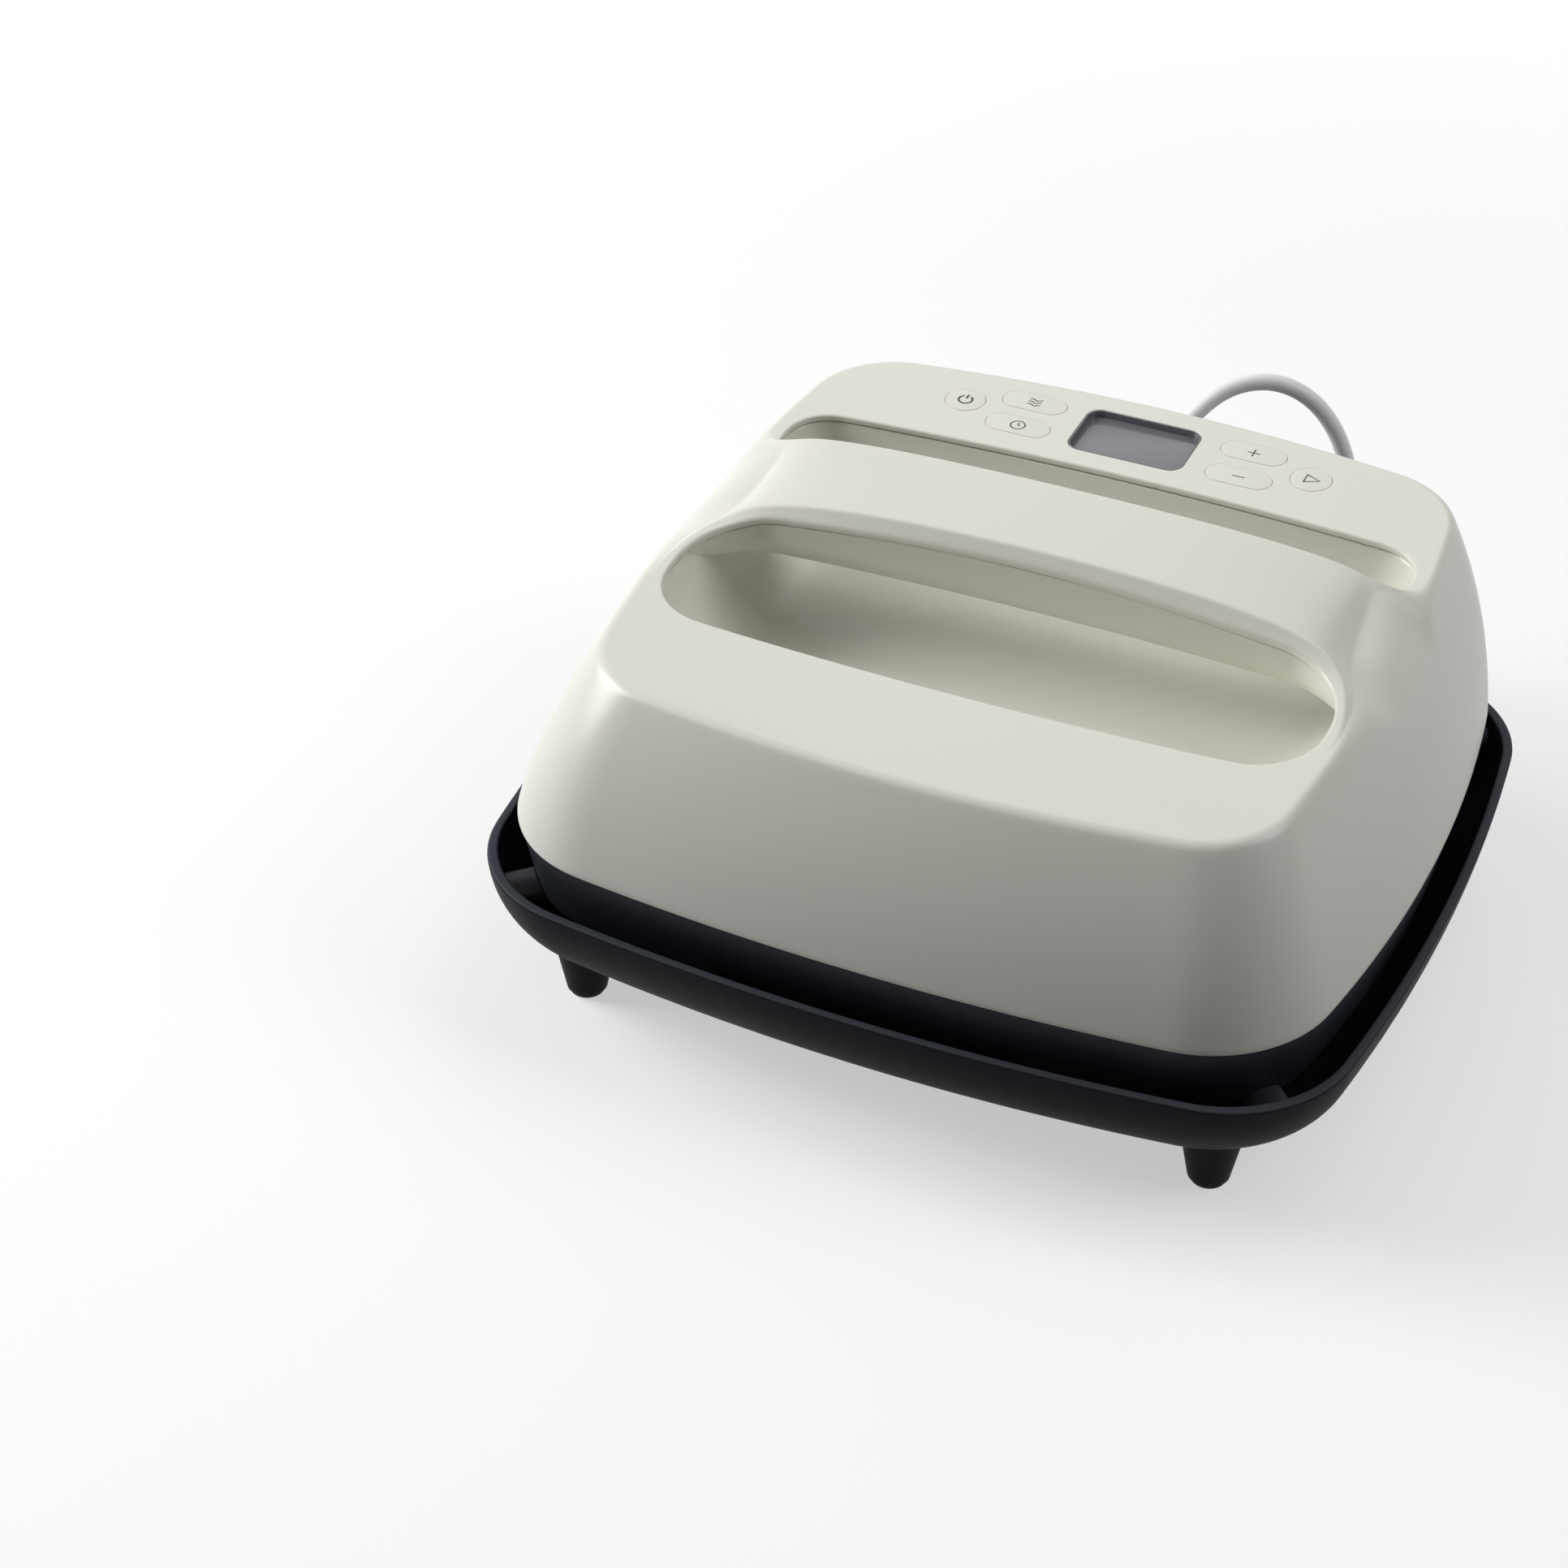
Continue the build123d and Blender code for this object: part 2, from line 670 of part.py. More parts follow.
# Standoffs between the plate and the web, and the screws that pull them together
with BuildPart() as plate_standoffs:
    with BuildSketch(Plane.XY.offset(plate_top)):
        with GridLocations(standoff_spread_x, standoff_spread_y, 2, 2):
            Circle(standoff_dia / 2)
            Circle(screw_dia / 2 + screw_gap, mode=Mode.SUBTRACT)
    extrude(amount=web_bottom - plate_top)
plate_standoffs.part.label = "plate_standoffs"
export_step(plate_standoffs.part, "parts/plate_standoffs.step")

with BuildPart() as plate_screws:
    with BuildSketch(Plane.XY.offset(housing_bottom)):
        with GridLocations(standoff_spread_x, standoff_spread_y, 2, 2):
            Circle(screw_head_dia / 2)
    extrude(amount=screw_head_height)
    with BuildSketch(Plane.XY.offset(housing_bottom)):
        with GridLocations(standoff_spread_x, standoff_spread_y, 2, 2):
            Circle(screw_dia / 2)
    extrude(amount=-web_thickness - screw_length)
plate_screws.part.label = "plate_screws"
export_step(plate_screws.part, "parts/plate_screws.step")

# Lower housing: dark skirt, the web that closes it and the posts for the power board
power_post_places = GridLocations(
    power_board_width - 2 * power_post_inset, power_board_depth - 2 * power_post_inset, 2, 2).locations
power_post_places = [(place.position.X, power_board_y + place.position.Y) for place in power_post_places]
boss_places = [(x, y) for x in (-boss_x, boss_x) for y in (-boss_front, boss_rear)]
with BuildPart() as lower_housing:
    loft([skirt_outline(housing_bottom, 0), skirt_outline(skirt_bottom, 0)])
    loft([skirt_outline(web_bottom, skirt_wall), skirt_outline(skirt_bottom - cut_over, skirt_wall)],
         mode=Mode.SUBTRACT)
    with BuildSketch(Plane.XY.offset(housing_bottom)):
        with Locations(*terminal_places):
            Circle(terminal_dia / 2 + cut_over)
        with GridLocations(standoff_spread_x, standoff_spread_y, 2, 2):
            Circle(screw_dia / 2 + screw_gap)
        with Locations(*boss_places):
            Circle(housing_screw_dia / 2 + screw_gap)
    extrude(amount=-web_thickness, mode=Mode.SUBTRACT)
    with BuildSketch(Plane.XY.offset(housing_bottom)):
        with Locations(*power_post_places):
            Circle(power_post_dia / 2)
    extrude(amount=power_post_height)
    with BuildSketch(Plane.XY.offset(power_board_bottom)):
        with Locations(*power_post_places):
            Circle(screw_dia / 2 + screw_gap)
    extrude(amount=-screw_length, mode=Mode.SUBTRACT)
lower_housing.part.label = "lower_housing"
export_step(lower_housing.part, "parts/lower_housing.step")

# Upper housing: hollow shell with the two openings, the control holes, the cord hole and its bosses
cord_way = (route[1] - route[0]).normalized()
boot_foot = route[0] - cord_way * boot_length
boot_plane = Plane(origin=boot_foot, z_dir=cord_way)
control_boss_places = GridLocations(
    control_board_width - 2 * control_boss_inset_x,
    control_board_depth - 2 * control_boss_inset_y, 2, 2).locations
control_boss_places = [
    (place.position.X, control_board_row + place.position.Y) for place in control_boss_places]
round_buttons = {
    "power_button": (-round_button_x, round_button_row),
    "start_button": (round_button_x, round_button_row),
}
pill_buttons = {
    "heat_button": (-pill_x, pill_rear_row),
    "timer_button": (-pill_x, pill_front_row),
    "plus_button": (pill_x, pill_rear_row),
    "minus_button": (pill_x, pill_front_row),
}


def controls_outline(drop, grow):
    """Outlines of the six buttons on a plane below the deck, grown by a clearance or a flange."""
    with BuildSketch(deck_plane(drop)) as outline:
        with Locations(*round_buttons.values()):
            Circle(round_button_dia / 2 + grow)
        with Locations(*pill_buttons.values()):
            SlotOverall(pill_length + 2 * grow, pill_width + 2 * grow)
    return outline.sketch


with BuildPart() as housing_bosses:
    with BuildSketch(Plane.XY.offset(housing_bottom)):
        with Locations(*boss_places):
            Circle(boss_dia / 2)
    extrude(amount=deck_lift)
    add(outer_form, mode=Mode.INTERSECT)
    with BuildSketch(Plane.XY.offset(housing_bottom)):
        with Locations(*boss_places):
            Circle(housing_screw_dia / 2 + screw_gap)
    extrude(amount=housing_screw_length, mode=Mode.SUBTRACT)

with BuildPart() as upper_housing:
    add(outer_form)
    add(housing_form(wall, 0), mode=Mode.SUBTRACT)
    extrude(hand_outline(0), amount=base_depth, mode=Mode.SUBTRACT)
    extrude(slot_outline(0), amount=base_depth, mode=Mode.SUBTRACT)
    extrude(controls_outline(-cut_over, 0), amount=-wall - 2 * cut_over, mode=Mode.SUBTRACT)
    with BuildSketch(deck_plane(-cut_over)):
        with Locations((0, display_row)):
            RectangleRounded(display_width, display_height, display_corner)
    extrude(amount=-wall - 2 * cut_over, mode=Mode.SUBTRACT)
    with BuildSketch(deck_plane(wall / 2)):
        with Locations(*control_boss_places):
            Circle(control_boss_dia / 2)
    extrude(amount=wall / 2 - control_board_drop)
    with BuildSketch(deck_plane(control_board_drop)):
        with Locations(*control_boss_places):
            Circle(screw_dia / 2 + screw_gap)
    extrude(amount=screw_length - board_thickness, mode=Mode.SUBTRACT)
    with BuildSketch(boot_plane.offset(-boot_neck_length)):
        Circle(boot_neck_dia / 2 + seat_gap)
    extrude(amount=boot_neck_length + boot_length / 2, mode=Mode.SUBTRACT)
    add(housing_bosses.part)
upper_housing.part.label = "upper_housing"
export_step(upper_housing.part, "parts/upper_housing.step")

# Screws from under the web into the housing bosses
with BuildPart() as housing_screws:
    with BuildSketch(Plane.XY.offset(web_bottom)):
        with Locations(*boss_places):
            Circle(housing_screw_head_dia / 2)
    extrude(amount=-housing_screw_head_height)
    with BuildSketch(Plane.XY.offset(web_bottom)):
        with Locations(*boss_places):
            Circle(housing_screw_dia / 2)
    extrude(amount=housing_screw_length)
housing_screws.part.label = "housing_screws"
export_step(housing_screws.part, "parts/housing_screws.step")

# Recess liner: the bowl under both openings, hung from a flange under the deck
with BuildPart() as recess_liner:
    add(bowl_form(-bowl_wall, -bowl_wall, False))
    extrude(bowl_section(0, -bowl_wall - bowl_flange, deck_plane(wall)), amount=-bowl_flange_thickness)
    add(bowl_form(0, 0, False), mode=Mode.SUBTRACT)
recess_liner.part.label = "recess_liner"
export_step(recess_liner.part, "parts/recess_liner.step")

# Handle lower shell: a trough that closes the strap from below and ends at the bowl's walls
with BuildPart() as grip_hollow:
    add(grip_block(grip_wall))
    add(bowl_form(seat_gap + grip_wall, 0, True), mode=Mode.INTERSECT)
with BuildPart() as handle_lower_shell:
    add(grip_block(0))
    add(bowl_form(seat_gap, 0, True), mode=Mode.INTERSECT)
    add(housing_form(wall + seat_gap, 0), mode=Mode.INTERSECT)
    add(grip_hollow.part, mode=Mode.SUBTRACT)
handle_lower_shell.part.label = "handle_lower_shell"
export_step(handle_lower_shell.part, "parts/handle_lower_shell.step")

# Display: lens in the deck with a flange below it, and the module on the board
with BuildPart() as display_lens:
    with BuildSketch(deck_plane(display_sink)):
        with Locations((0, display_row)):
            RectangleRounded(
                display_width - 2 * lens_gap, display_height - 2 * lens_gap, display_corner - lens_gap)
    extrude(amount=display_sink - wall)
    with BuildSketch(deck_plane(wall)):
        with Locations((0, display_row)):
            RectangleRounded(
                display_width + 2 * lens_flange, display_height + 2 * lens_flange,
                display_corner + lens_flange)
    extrude(amount=-lens_flange_thickness)
display_lens.part.label = "display_lens"
export_step(display_lens.part, "parts/display_lens.step")

with BuildPart() as display_module:
    with BuildSketch(deck_plane(control_board_drop)):
        with Locations((0, display_row)):
            Rectangle(display_width - 2 * module_border, display_height - 2 * module_border)
    extrude(amount=control_board_drop - wall - lens_flange_thickness - lens_gap)
display_module.part.label = "display_module"
export_step(display_module.part, "parts/display_module.step")

# Control board with its screws and buzzer
with BuildPart() as control_board:
    with BuildSketch(deck_plane(control_board_drop)):
        with Locations((0, control_board_row)):
            Rectangle(control_board_width, control_board_depth)
        with Locations(*control_boss_places):
            Circle(screw_dia / 2 + screw_gap, mode=Mode.SUBTRACT)
    extrude(amount=-board_thickness)
control_board.part.label = "control_board"
export_step(control_board.part, "parts/control_board.step")

with BuildPart() as control_board_screws:
    with BuildSketch(deck_plane(board_bottom_drop)):
        with Locations(*control_boss_places):
            Circle(screw_head_dia / 2)
    extrude(amount=-screw_head_height)
    with BuildSketch(deck_plane(board_bottom_drop)):
        with Locations(*control_boss_places):
            Circle(screw_dia / 2)
    extrude(amount=screw_length - seat_gap)
control_board_screws.part.label = "control_board_screws"
export_step(control_board_screws.part, "parts/control_board_screws.step")

with BuildPart() as buzzer:
    with BuildSketch(deck_plane(board_bottom_drop)):
        with Locations((buzzer_x, control_board_row)):
            Circle(buzzer_dia / 2)
    extrude(amount=-buzzer_height)
    fillet(buzzer.faces().sort_by(Axis.Z)[0].edges(), buzzer_round)
buzzer.part.label = "buzzer"
export_step(buzzer.part, "parts/buzzer.step")

# Buttons: a cap in its hole, a flange that keeps it in and a stem over its switch
flange_drop = wall + seat_gap
stem_drop = flange_drop + button_flange_thickness
for button_name, place in (round_buttons | pill_buttons).items():
    is_round = button_name in round_buttons
    with BuildPart() as button:
        for drop, grow, height in (
            (-button_proud, -slide_gap, button_proud + flange_drop),
            (flange_drop, button_flange, button_flange_thickness),
        ):
            with BuildSketch(deck_plane(drop)):
                with Locations(place):
                    if is_round:
                        Circle(round_button_dia / 2 + grow)
                    else:
                        SlotOverall(pill_length + 2 * grow, pill_width + 2 * grow)
            extrude(amount=-height)
        with BuildSketch(deck_plane(stem_drop)):
            with Locations(place):
                Circle(button_stem_dia / 2)
        extrude(amount=-button_stem_length)
    button.part.label = button_name
    export_step(button.part, f"parts/{button_name}.step")

    switch_name = button_name.replace("button", "switch")
    plunger_drop = stem_drop + button_stem_length + button_travel + seat_gap
    with BuildPart() as switch:
        with BuildSketch(deck_plane(control_board_drop)):
            with Locations(place):
                Rectangle(switch_size, switch_size)
        extrude(amount=switch_height)
        with BuildSketch(deck_plane(control_board_drop)):
            with Locations(place):
                Circle(switch_plunger_dia / 2)
        extrude(amount=control_board_drop - plunger_drop)
    switch.part.label = switch_name
    export_step(switch.part, f"parts/{switch_name}.step")

# Power board on the web's posts, with its screws
with BuildPart() as power_board:
    with BuildSketch(Plane.XY.offset(power_board_bottom)):
        with Locations((0, power_board_y)):
            Rectangle(power_board_width, power_board_depth)
        with Locations(*power_post_places):
            Circle(screw_dia / 2 + screw_gap, mode=Mode.SUBTRACT)
    extrude(amount=board_thickness)
power_board.part.label = "power_board"
export_step(power_board.part, "parts/power_board.step")

with BuildPart() as power_board_screws:
    with BuildSketch(Plane.XY.offset(power_board_top)):
        with Locations(*power_post_places):
            Circle(screw_head_dia / 2)
    extrude(amount=screw_head_height)
    with BuildSketch(Plane.XY.offset(power_board_top)):
        with Locations(*power_post_places):
            Circle(screw_dia / 2)
    extrude(amount=-screw_length)
power_board_screws.part.label = "power_board_screws"
export_step(power_board_screws.part, "parts/power_board_screws.step")

# Transformer: a laminated core with a wound bobbin through its middle
with BuildPart() as transformer:
    with BuildSketch(Plane.XY.offset(power_board_top)):
        with Locations((transformer_x, power_board_y)):
            Rectangle(transformer_width, transformer_core)
    extrude(amount=transformer_height)
    with BuildSketch(Plane.XY.offset(power_board_top)):
        with Locations((transformer_x, power_board_y)):
            RectangleRounded(transformer_width - transformer_core, transformer_depth, transformer_round)
    extrude(amount=transformer_height - transformer_core / 2)
transformer.part.label = "transformer"
export_step(transformer.part, "parts/transformer.step")

with BuildPart() as relay:
    with BuildSketch(Plane.XY.offset(power_board_top)):
        with Locations((relay_x, power_board_y)):
            Rectangle(relay_width, relay_depth)
    extrude(amount=relay_height)
    fillet(relay.faces().sort_by(Axis.Z)[-1].edges(), relay_round)
relay.part.label = "relay"
export_step(relay.part, "parts/relay.step")

# Terminal block with a row of screw wells
with BuildPart() as terminal_block:
    with BuildSketch(Plane.XY.offset(power_board_top)):
        with Locations((block_x, power_board_y)):
            Rectangle(block_width, block_depth)
    extrude(amount=block_height)
    with BuildSketch(Plane.XY.offset(power_board_top + block_height)):
        with Locations((block_x, power_board_y)):
            with GridLocations(block_width / block_ways, 0, block_ways, 1):
                Circle(block_hole_dia / 2)
    extrude(amount=-block_height / 2, mode=Mode.SUBTRACT)
terminal_block.part.label = "terminal_block"
export_step(terminal_block.part, "parts/terminal_block.step")

# Cord boot: a ribbed cone outside the rear wall, a neck through it and a collar inside
with BuildPart() as boot_inside:
    with BuildSketch(boot_plane.offset(-boot_neck_length)):
        Circle(boot_collar_dia / 2)
    extrude(amount=boot_neck_length + boot_length)
    add(housing_form(wall + seat_gap, 0), mode=Mode.INTERSECT)
with BuildPart() as boot_outside:
    with BuildSketch(boot_plane.offset(-boot_neck_length)):
        Circle(boot_base_dia / 2)
    with BuildSketch(boot_plane.offset(boot_length)):
        Circle(boot_tip_dia / 2)
    loft()
    for index in range(boot_grooves):
        groove_place = boot_length * (boot_plain_share + (1 - boot_plain_share) * index / boot_grooves)
        with BuildSketch(boot_plane.offset(groove_place)):
            Circle(boot_base_dia)
            Circle(boot_tip_dia / 2 + (boot_base_dia - boot_tip_dia) / 2 * (1 - groove_place / boot_length)
                   - boot_groove_depth, mode=Mode.SUBTRACT)
        extrude(amount=boot_groove_width, mode=Mode.SUBTRACT)
    add(housing_form(-seat_gap, 0), mode=Mode.SUBTRACT)
with BuildPart() as cord_strain_relief:
    with BuildSketch(boot_plane.offset(-boot_neck_length)):
        Circle(boot_neck_dia / 2)
    extrude(amount=boot_neck_length + boot_groove_width)
    add(boot_inside.part)
    add(boot_outside.part)
cord_strain_relief.part.label = "cord_strain_relief"
export_step(cord_strain_relief.part, "parts/cord_strain_relief.step")

# Power cord: the free stretch from the boot over its arch and down to the coil
runs = [after - before for before, after in zip(route, route[1:])]
bend_radii = []
for before, after in zip(runs, runs[1:]):
    half_turn = radians(before.get_angle(after)) / 2
    bend_radii.append(cord_round_share * min(before.length, after.length) / tan(half_turn))
print("cord radii", [round(radius, 1) for radius in bend_radii])
with BuildLine() as cord_line:
    FilletPolyline(*route, radius=bend_radii)
with BuildPart() as power_cord:
    with BuildSketch(Plane(origin=route[0], z_dir=runs[0])):
        Circle(cord_dia / 2)
    sweep(path=cord_line.wires()[0])
cord_section = pi * cord_dia**2 / 4
cord_length = cord_line.wires()[0].length
print("cord volume share", power_cord.part.volume / (cord_section * cord_length))
power_cord.part.label = "power_cord"
export_step(power_cord.part, "parts/power_cord.step")

# Cord coil: half turns that spiral in, climb a layer where the spiral reverses, and spiral out again
coil_start = route[-1]
coil_x = coil_start.X - cord_dia
coil_y = coil_start.Y + coil_outer
coil_turns = 2 * coil_half_turns_in
coil_radii = [coil_outer - coil_pitch / 2 * min(index, coil_turns - index) for index in range(coil_turns + 1)]
coil_points = []
for index, radius in enumerate(coil_radii):
    side = -1 if index % 2 == 0 else 1
    layer = coil_start.Z + (coil_layer_step if index >= coil_half_turns_in else 0)
    coil_points.append(Vector(coil_x, coil_y + side * radius, layer))
coil_end = coil_points[-1] - Vector(coil_tail, 0, 0)
with BuildLine() as coil_line:
    Line(coil_start, coil_points[0])
    for index, (before, after) in enumerate(zip(coil_points, coil_points[1:])):
        side = -1 if index % 2 == 0 else 1
        reach = (after - before).length / 2
        ThreePointArc(before, (before + after) / 2 + Vector(side * reach, 0, 0), after)
    Line(coil_points[-1], coil_end)
coil_wire = coil_line.wires()[0]
with BuildPart() as cord_coil:
    with BuildSketch(Plane(origin=coil_start, z_dir=(-1, 0, 0))):
        Circle(cord_dia / 2)
    sweep(path=coil_wire)
samples = int(coil_wire.length / cord_dia) * 3
coil_samples = [tuple(coil_wire @ (index / samples)) for index in range(samples + 1)]
apart = int(pi * cord_dia * samples / coil_wire.length) + 1
coil_gap = min(
    dist(point, other) for index, point in enumerate(coil_samples) for other in coil_samples[index + apart:])
print("coil gap", coil_gap - cord_dia, "coil length", coil_wire.length)
print("coil volume share", cord_coil.part.volume / (cord_section * coil_wire.length))
cord_coil.part.label = "cord_coil"
export_step(cord_coil.part, "parts/cord_coil.step")

# Cord tie: a band round all the loops on one side of the coil
tie_left = coil_x - (coil_radii[0] + coil_radii[1]) / 2 - cord_dia / 2 - slide_gap
inner_radius = (coil_radii[coil_half_turns_in] + coil_radii[coil_half_turns_in - 1]) / 2
tie_reach = tie_width / 2 + coil_pitch / 4
tie_right = coil_x - (inner_radius**2 - tie_reach**2) ** 0.5 + cord_dia / 2 + slide_gap
tie_bottom = coil_start.Z - cord_dia / 2 - slide_gap
tie_top = coil_points[-1].Z + cord_dia / 2 + slide_gap
with BuildPart() as cord_tie:
    with BuildSketch(Plane(origin=(0, coil_y - tie_width / 2, 0), x_dir=(1, 0, 0), z_dir=(0, -1, 0))):
        with Locations(((tie_left + tie_right) / 2, (tie_bottom + tie_top) / 2)):
            RectangleRounded(
                tie_right - tie_left + 2 * tie_thickness, tie_top - tie_bottom + 2 * tie_thickness,
                tie_round + tie_thickness)
            RectangleRounded(tie_right - tie_left, tie_top - tie_bottom, tie_round, mode=Mode.SUBTRACT)
    extrude(amount=-tie_width)
cord_tie.part.label = "cord_tie"
export_step(cord_tie.part, "parts/cord_tie.step")

# Plug: a moulded body that lies on the table, with a tapered neck towards the cord
plug_axis = Plane(origin=coil_end, x_dir=(0, 1, 0), z_dir=(-1, 0, 0))
plug_height = 2 * coil_end.Z
with BuildPart() as plug_body:
    with BuildSketch(plug_axis.offset(plug_neck_length)):
        RectangleRounded(plug_width, plug_height, plug_width / 2 - plug_round)
    extrude(amount=plug_length)
    fillet(plug_body.faces().sort_by(Axis.X)[-1].edges(), plug_round)
    with BuildSketch(plug_axis):
        Circle(plug_neck_dia / 2)
    with BuildSketch(plug_axis.offset(plug_neck_length + plug_round)):
        Circle(plug_height / 2 - plug_round)
    loft()
plug_body.part.label = "plug_body"
export_step(plug_body.part, "parts/plug_body.step")

# Plug pins: two flat blades and a round pin on the plug's flat face
with BuildPart() as plug_pins:
    with BuildSketch(plug_axis.offset(plug_neck_length + plug_length)):
        with Locations((-blade_spread / 2, blade_rise), (blade_spread / 2, blade_rise)):
            Rectangle(blade_thickness, blade_width)
    extrude(amount=blade_length)
    with BuildSketch(plug_axis.offset(plug_neck_length + plug_length)):
        with Locations((0, blade_rise - ground_pin_drop)):
            Circle(ground_pin_dia / 2)
    extrude(amount=ground_pin_length)
plug_pins.part.label = "plug_pins"
export_step(plug_pins.part, "parts/plug_pins.step")
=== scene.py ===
import json
import math
from collections import namedtuple

import bmesh
import bpy
from bpy.props import FloatProperty, FloatVectorProperty, PointerProperty
from mathutils import Matrix, Vector

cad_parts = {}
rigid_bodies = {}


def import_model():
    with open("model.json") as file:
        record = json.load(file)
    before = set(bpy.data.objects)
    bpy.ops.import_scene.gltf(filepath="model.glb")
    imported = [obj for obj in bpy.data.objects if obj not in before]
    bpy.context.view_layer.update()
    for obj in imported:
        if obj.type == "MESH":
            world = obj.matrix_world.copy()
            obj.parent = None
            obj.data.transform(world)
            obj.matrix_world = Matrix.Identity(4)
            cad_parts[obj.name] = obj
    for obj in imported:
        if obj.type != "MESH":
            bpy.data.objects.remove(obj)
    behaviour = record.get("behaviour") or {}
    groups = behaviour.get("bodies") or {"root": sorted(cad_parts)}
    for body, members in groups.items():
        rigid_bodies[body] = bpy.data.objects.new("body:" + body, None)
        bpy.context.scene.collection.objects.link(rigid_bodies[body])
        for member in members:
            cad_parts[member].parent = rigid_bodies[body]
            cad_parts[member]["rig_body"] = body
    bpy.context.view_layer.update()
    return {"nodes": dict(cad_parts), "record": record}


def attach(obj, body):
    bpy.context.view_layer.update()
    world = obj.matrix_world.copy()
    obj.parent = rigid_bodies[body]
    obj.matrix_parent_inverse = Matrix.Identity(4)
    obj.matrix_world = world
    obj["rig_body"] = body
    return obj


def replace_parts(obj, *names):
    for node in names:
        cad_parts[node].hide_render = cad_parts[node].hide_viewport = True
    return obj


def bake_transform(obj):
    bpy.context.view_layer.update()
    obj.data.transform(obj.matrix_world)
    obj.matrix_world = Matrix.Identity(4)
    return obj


bl_info = {
    "name": "Handheld heat press",
    "version": (1, 0, 0),
    "blender": (4, 5, 0),
    "location": "3D View > Sidebar > Heat press",
    "description": "Builds the looks of a handheld heat press in its stand around the packed frame",
    "category": "Object",
}

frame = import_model()

# Sizes up to the stage are in millimetres: x to the right, y to the rear, z up
MM = 0.001
# Distance below which two points are one
NEAR = 1e-6
Shape = namedtuple("Shape", "width front rear side_bow front_bow rear_bow corner rear_corner")

# Housing: outlines at its bottom and at its tilted deck, and the bulge of the flanks between them
BASE = Shape(332.4, -146.0, 146.0, 16.0, 11.4, 11.4, 51.0, 51.0)
DECK = Shape(276.4, -115.8, 148.5, 9.7, 12.2, 12.2, 36.0, 36.0)
HOUSING_BOTTOM, DECK_ORIGIN, DECK_TILT = 74.1, 142.3, math.radians(2.0)
FLANK_BULGE, WALL = 3.6, 2.8
# Rows of points down the rounded edge of the deck and down the flanks, as shares
EDGE_SHARES = (0.06, 0.2, 0.4, 0.6, 0.8)
FLANK_SHARES = (1.0, 0.89, 0.75, 0.57, 0.395, 0.23, 0.094, 0.031, 0.0)

# Strap: rise over the deck at a line behind the middle, tilt, rear edge with its cove, and soft front edge
STRAP_LINE, STRAP_RISE, STRAP_TILT = 30.0, 16.6, math.radians(5.5)
STRAP_REAR, STRAP_COVE, STRAP_EDGE = 54.0, 15.0, 1.0
# Roll of the strap from its middle to its end: share of the reach, share of the rise and slope
STRAP_ROLL = ((0.0, 1.0, 0.0), (0.42, 0.94, -0.30), (0.66, 0.82, -0.75), (0.83, 0.65, -1.5),
              (0.93, 0.42, -3.6), (1.0, 0.0, -8.5))
# Distance behind the middle, rise over the deck's middle and slope of the sweep up to the strap
RAMP = ((-44.7, -1.56, 2.0), (-4.3, 2.6, 10.0), (9.0, 11.0, 54.0), (12.4, 16.2, 60.0))
# Rows of points round the strap's front edge, the room they need, and the halvings that find the edge
CREASE, CREASE_ROOM, HALVINGS = (-0.7, -0.25, 0.25, 0.7, 1.8), 0.2, 30
# Top edge beside the strap: distance behind the middle, inset from the deck outline and rise over the deck
NOTCH = ((-60.0, 2.6, 0.0), (-32.0, 3.0, 0.0), (-8.0, 7.0, 0.1), (10.0, 15.0, 0.5), (25.0, 17.2, 1.3),
         (40.0, 18.0, 3.4), (52.0, 17.6, 6.2), (55.0, 13.5, 5.4), (58.0, 9.2, 3.6), (61.0, 6.6, 1.8),
         (65.0, 4.8, 0.6), (72.0, 3.2, 0.0), (84.0, 2.6, 0.0))
# Share of the inset by which the flank starts lower there, and the bend of the edge with its end
NOTCH_DROP, NOTCH_BEND, NOTCH_BEND_END = 0.8, 0.35, 25.0

# Openings in front of the strap and behind it, and the rows of points round their rolled edges
HAND = Shape(256.6, -61.4, 9.0, 2.5, 4.8, 6.0, 27.0, 30.0)
SLOT = Shape(256.0, 53.0, 95.4, 1.5, 1.0, 6.0, 15.5, 17.5)
ROLL_SHARES = (0.25, 0.5, 0.75)

# Grid over the decks and the strap: lines in each block, and shares of the deck's edges at the blocks' ends
BLOCK_COLUMNS, BLOCK_ROWS = (8, 56, 8), (12, 18, 18, 10, 14)
ACROSS = [sum(BLOCK_COLUMNS[:k]) for k in range(len(BLOCK_COLUMNS) + 1)]
ALONG = [sum(BLOCK_ROWS[:k]) for k in range(len(BLOCK_ROWS) + 1)]
WIDE, DEEP = ACROSS[-1], ALONG[-1]
FRONT_MARKS, SIDE_MARKS = (0.0, 0.075, 0.925, 1.0), (0.0, 0.19, 0.42, 0.645, 0.80, 1.0)
# Shift of the blocks' corners towards the strap, along the edge of each opening
HAND_SHIFT, SLOT_SHIFT = 15.0, 12.0
# Edge points are numbered by ring, side and step
RING, SIDE = 10000, 1000
DECK_RING, HAND_RING, SLOT_RING = 1, 2, 3

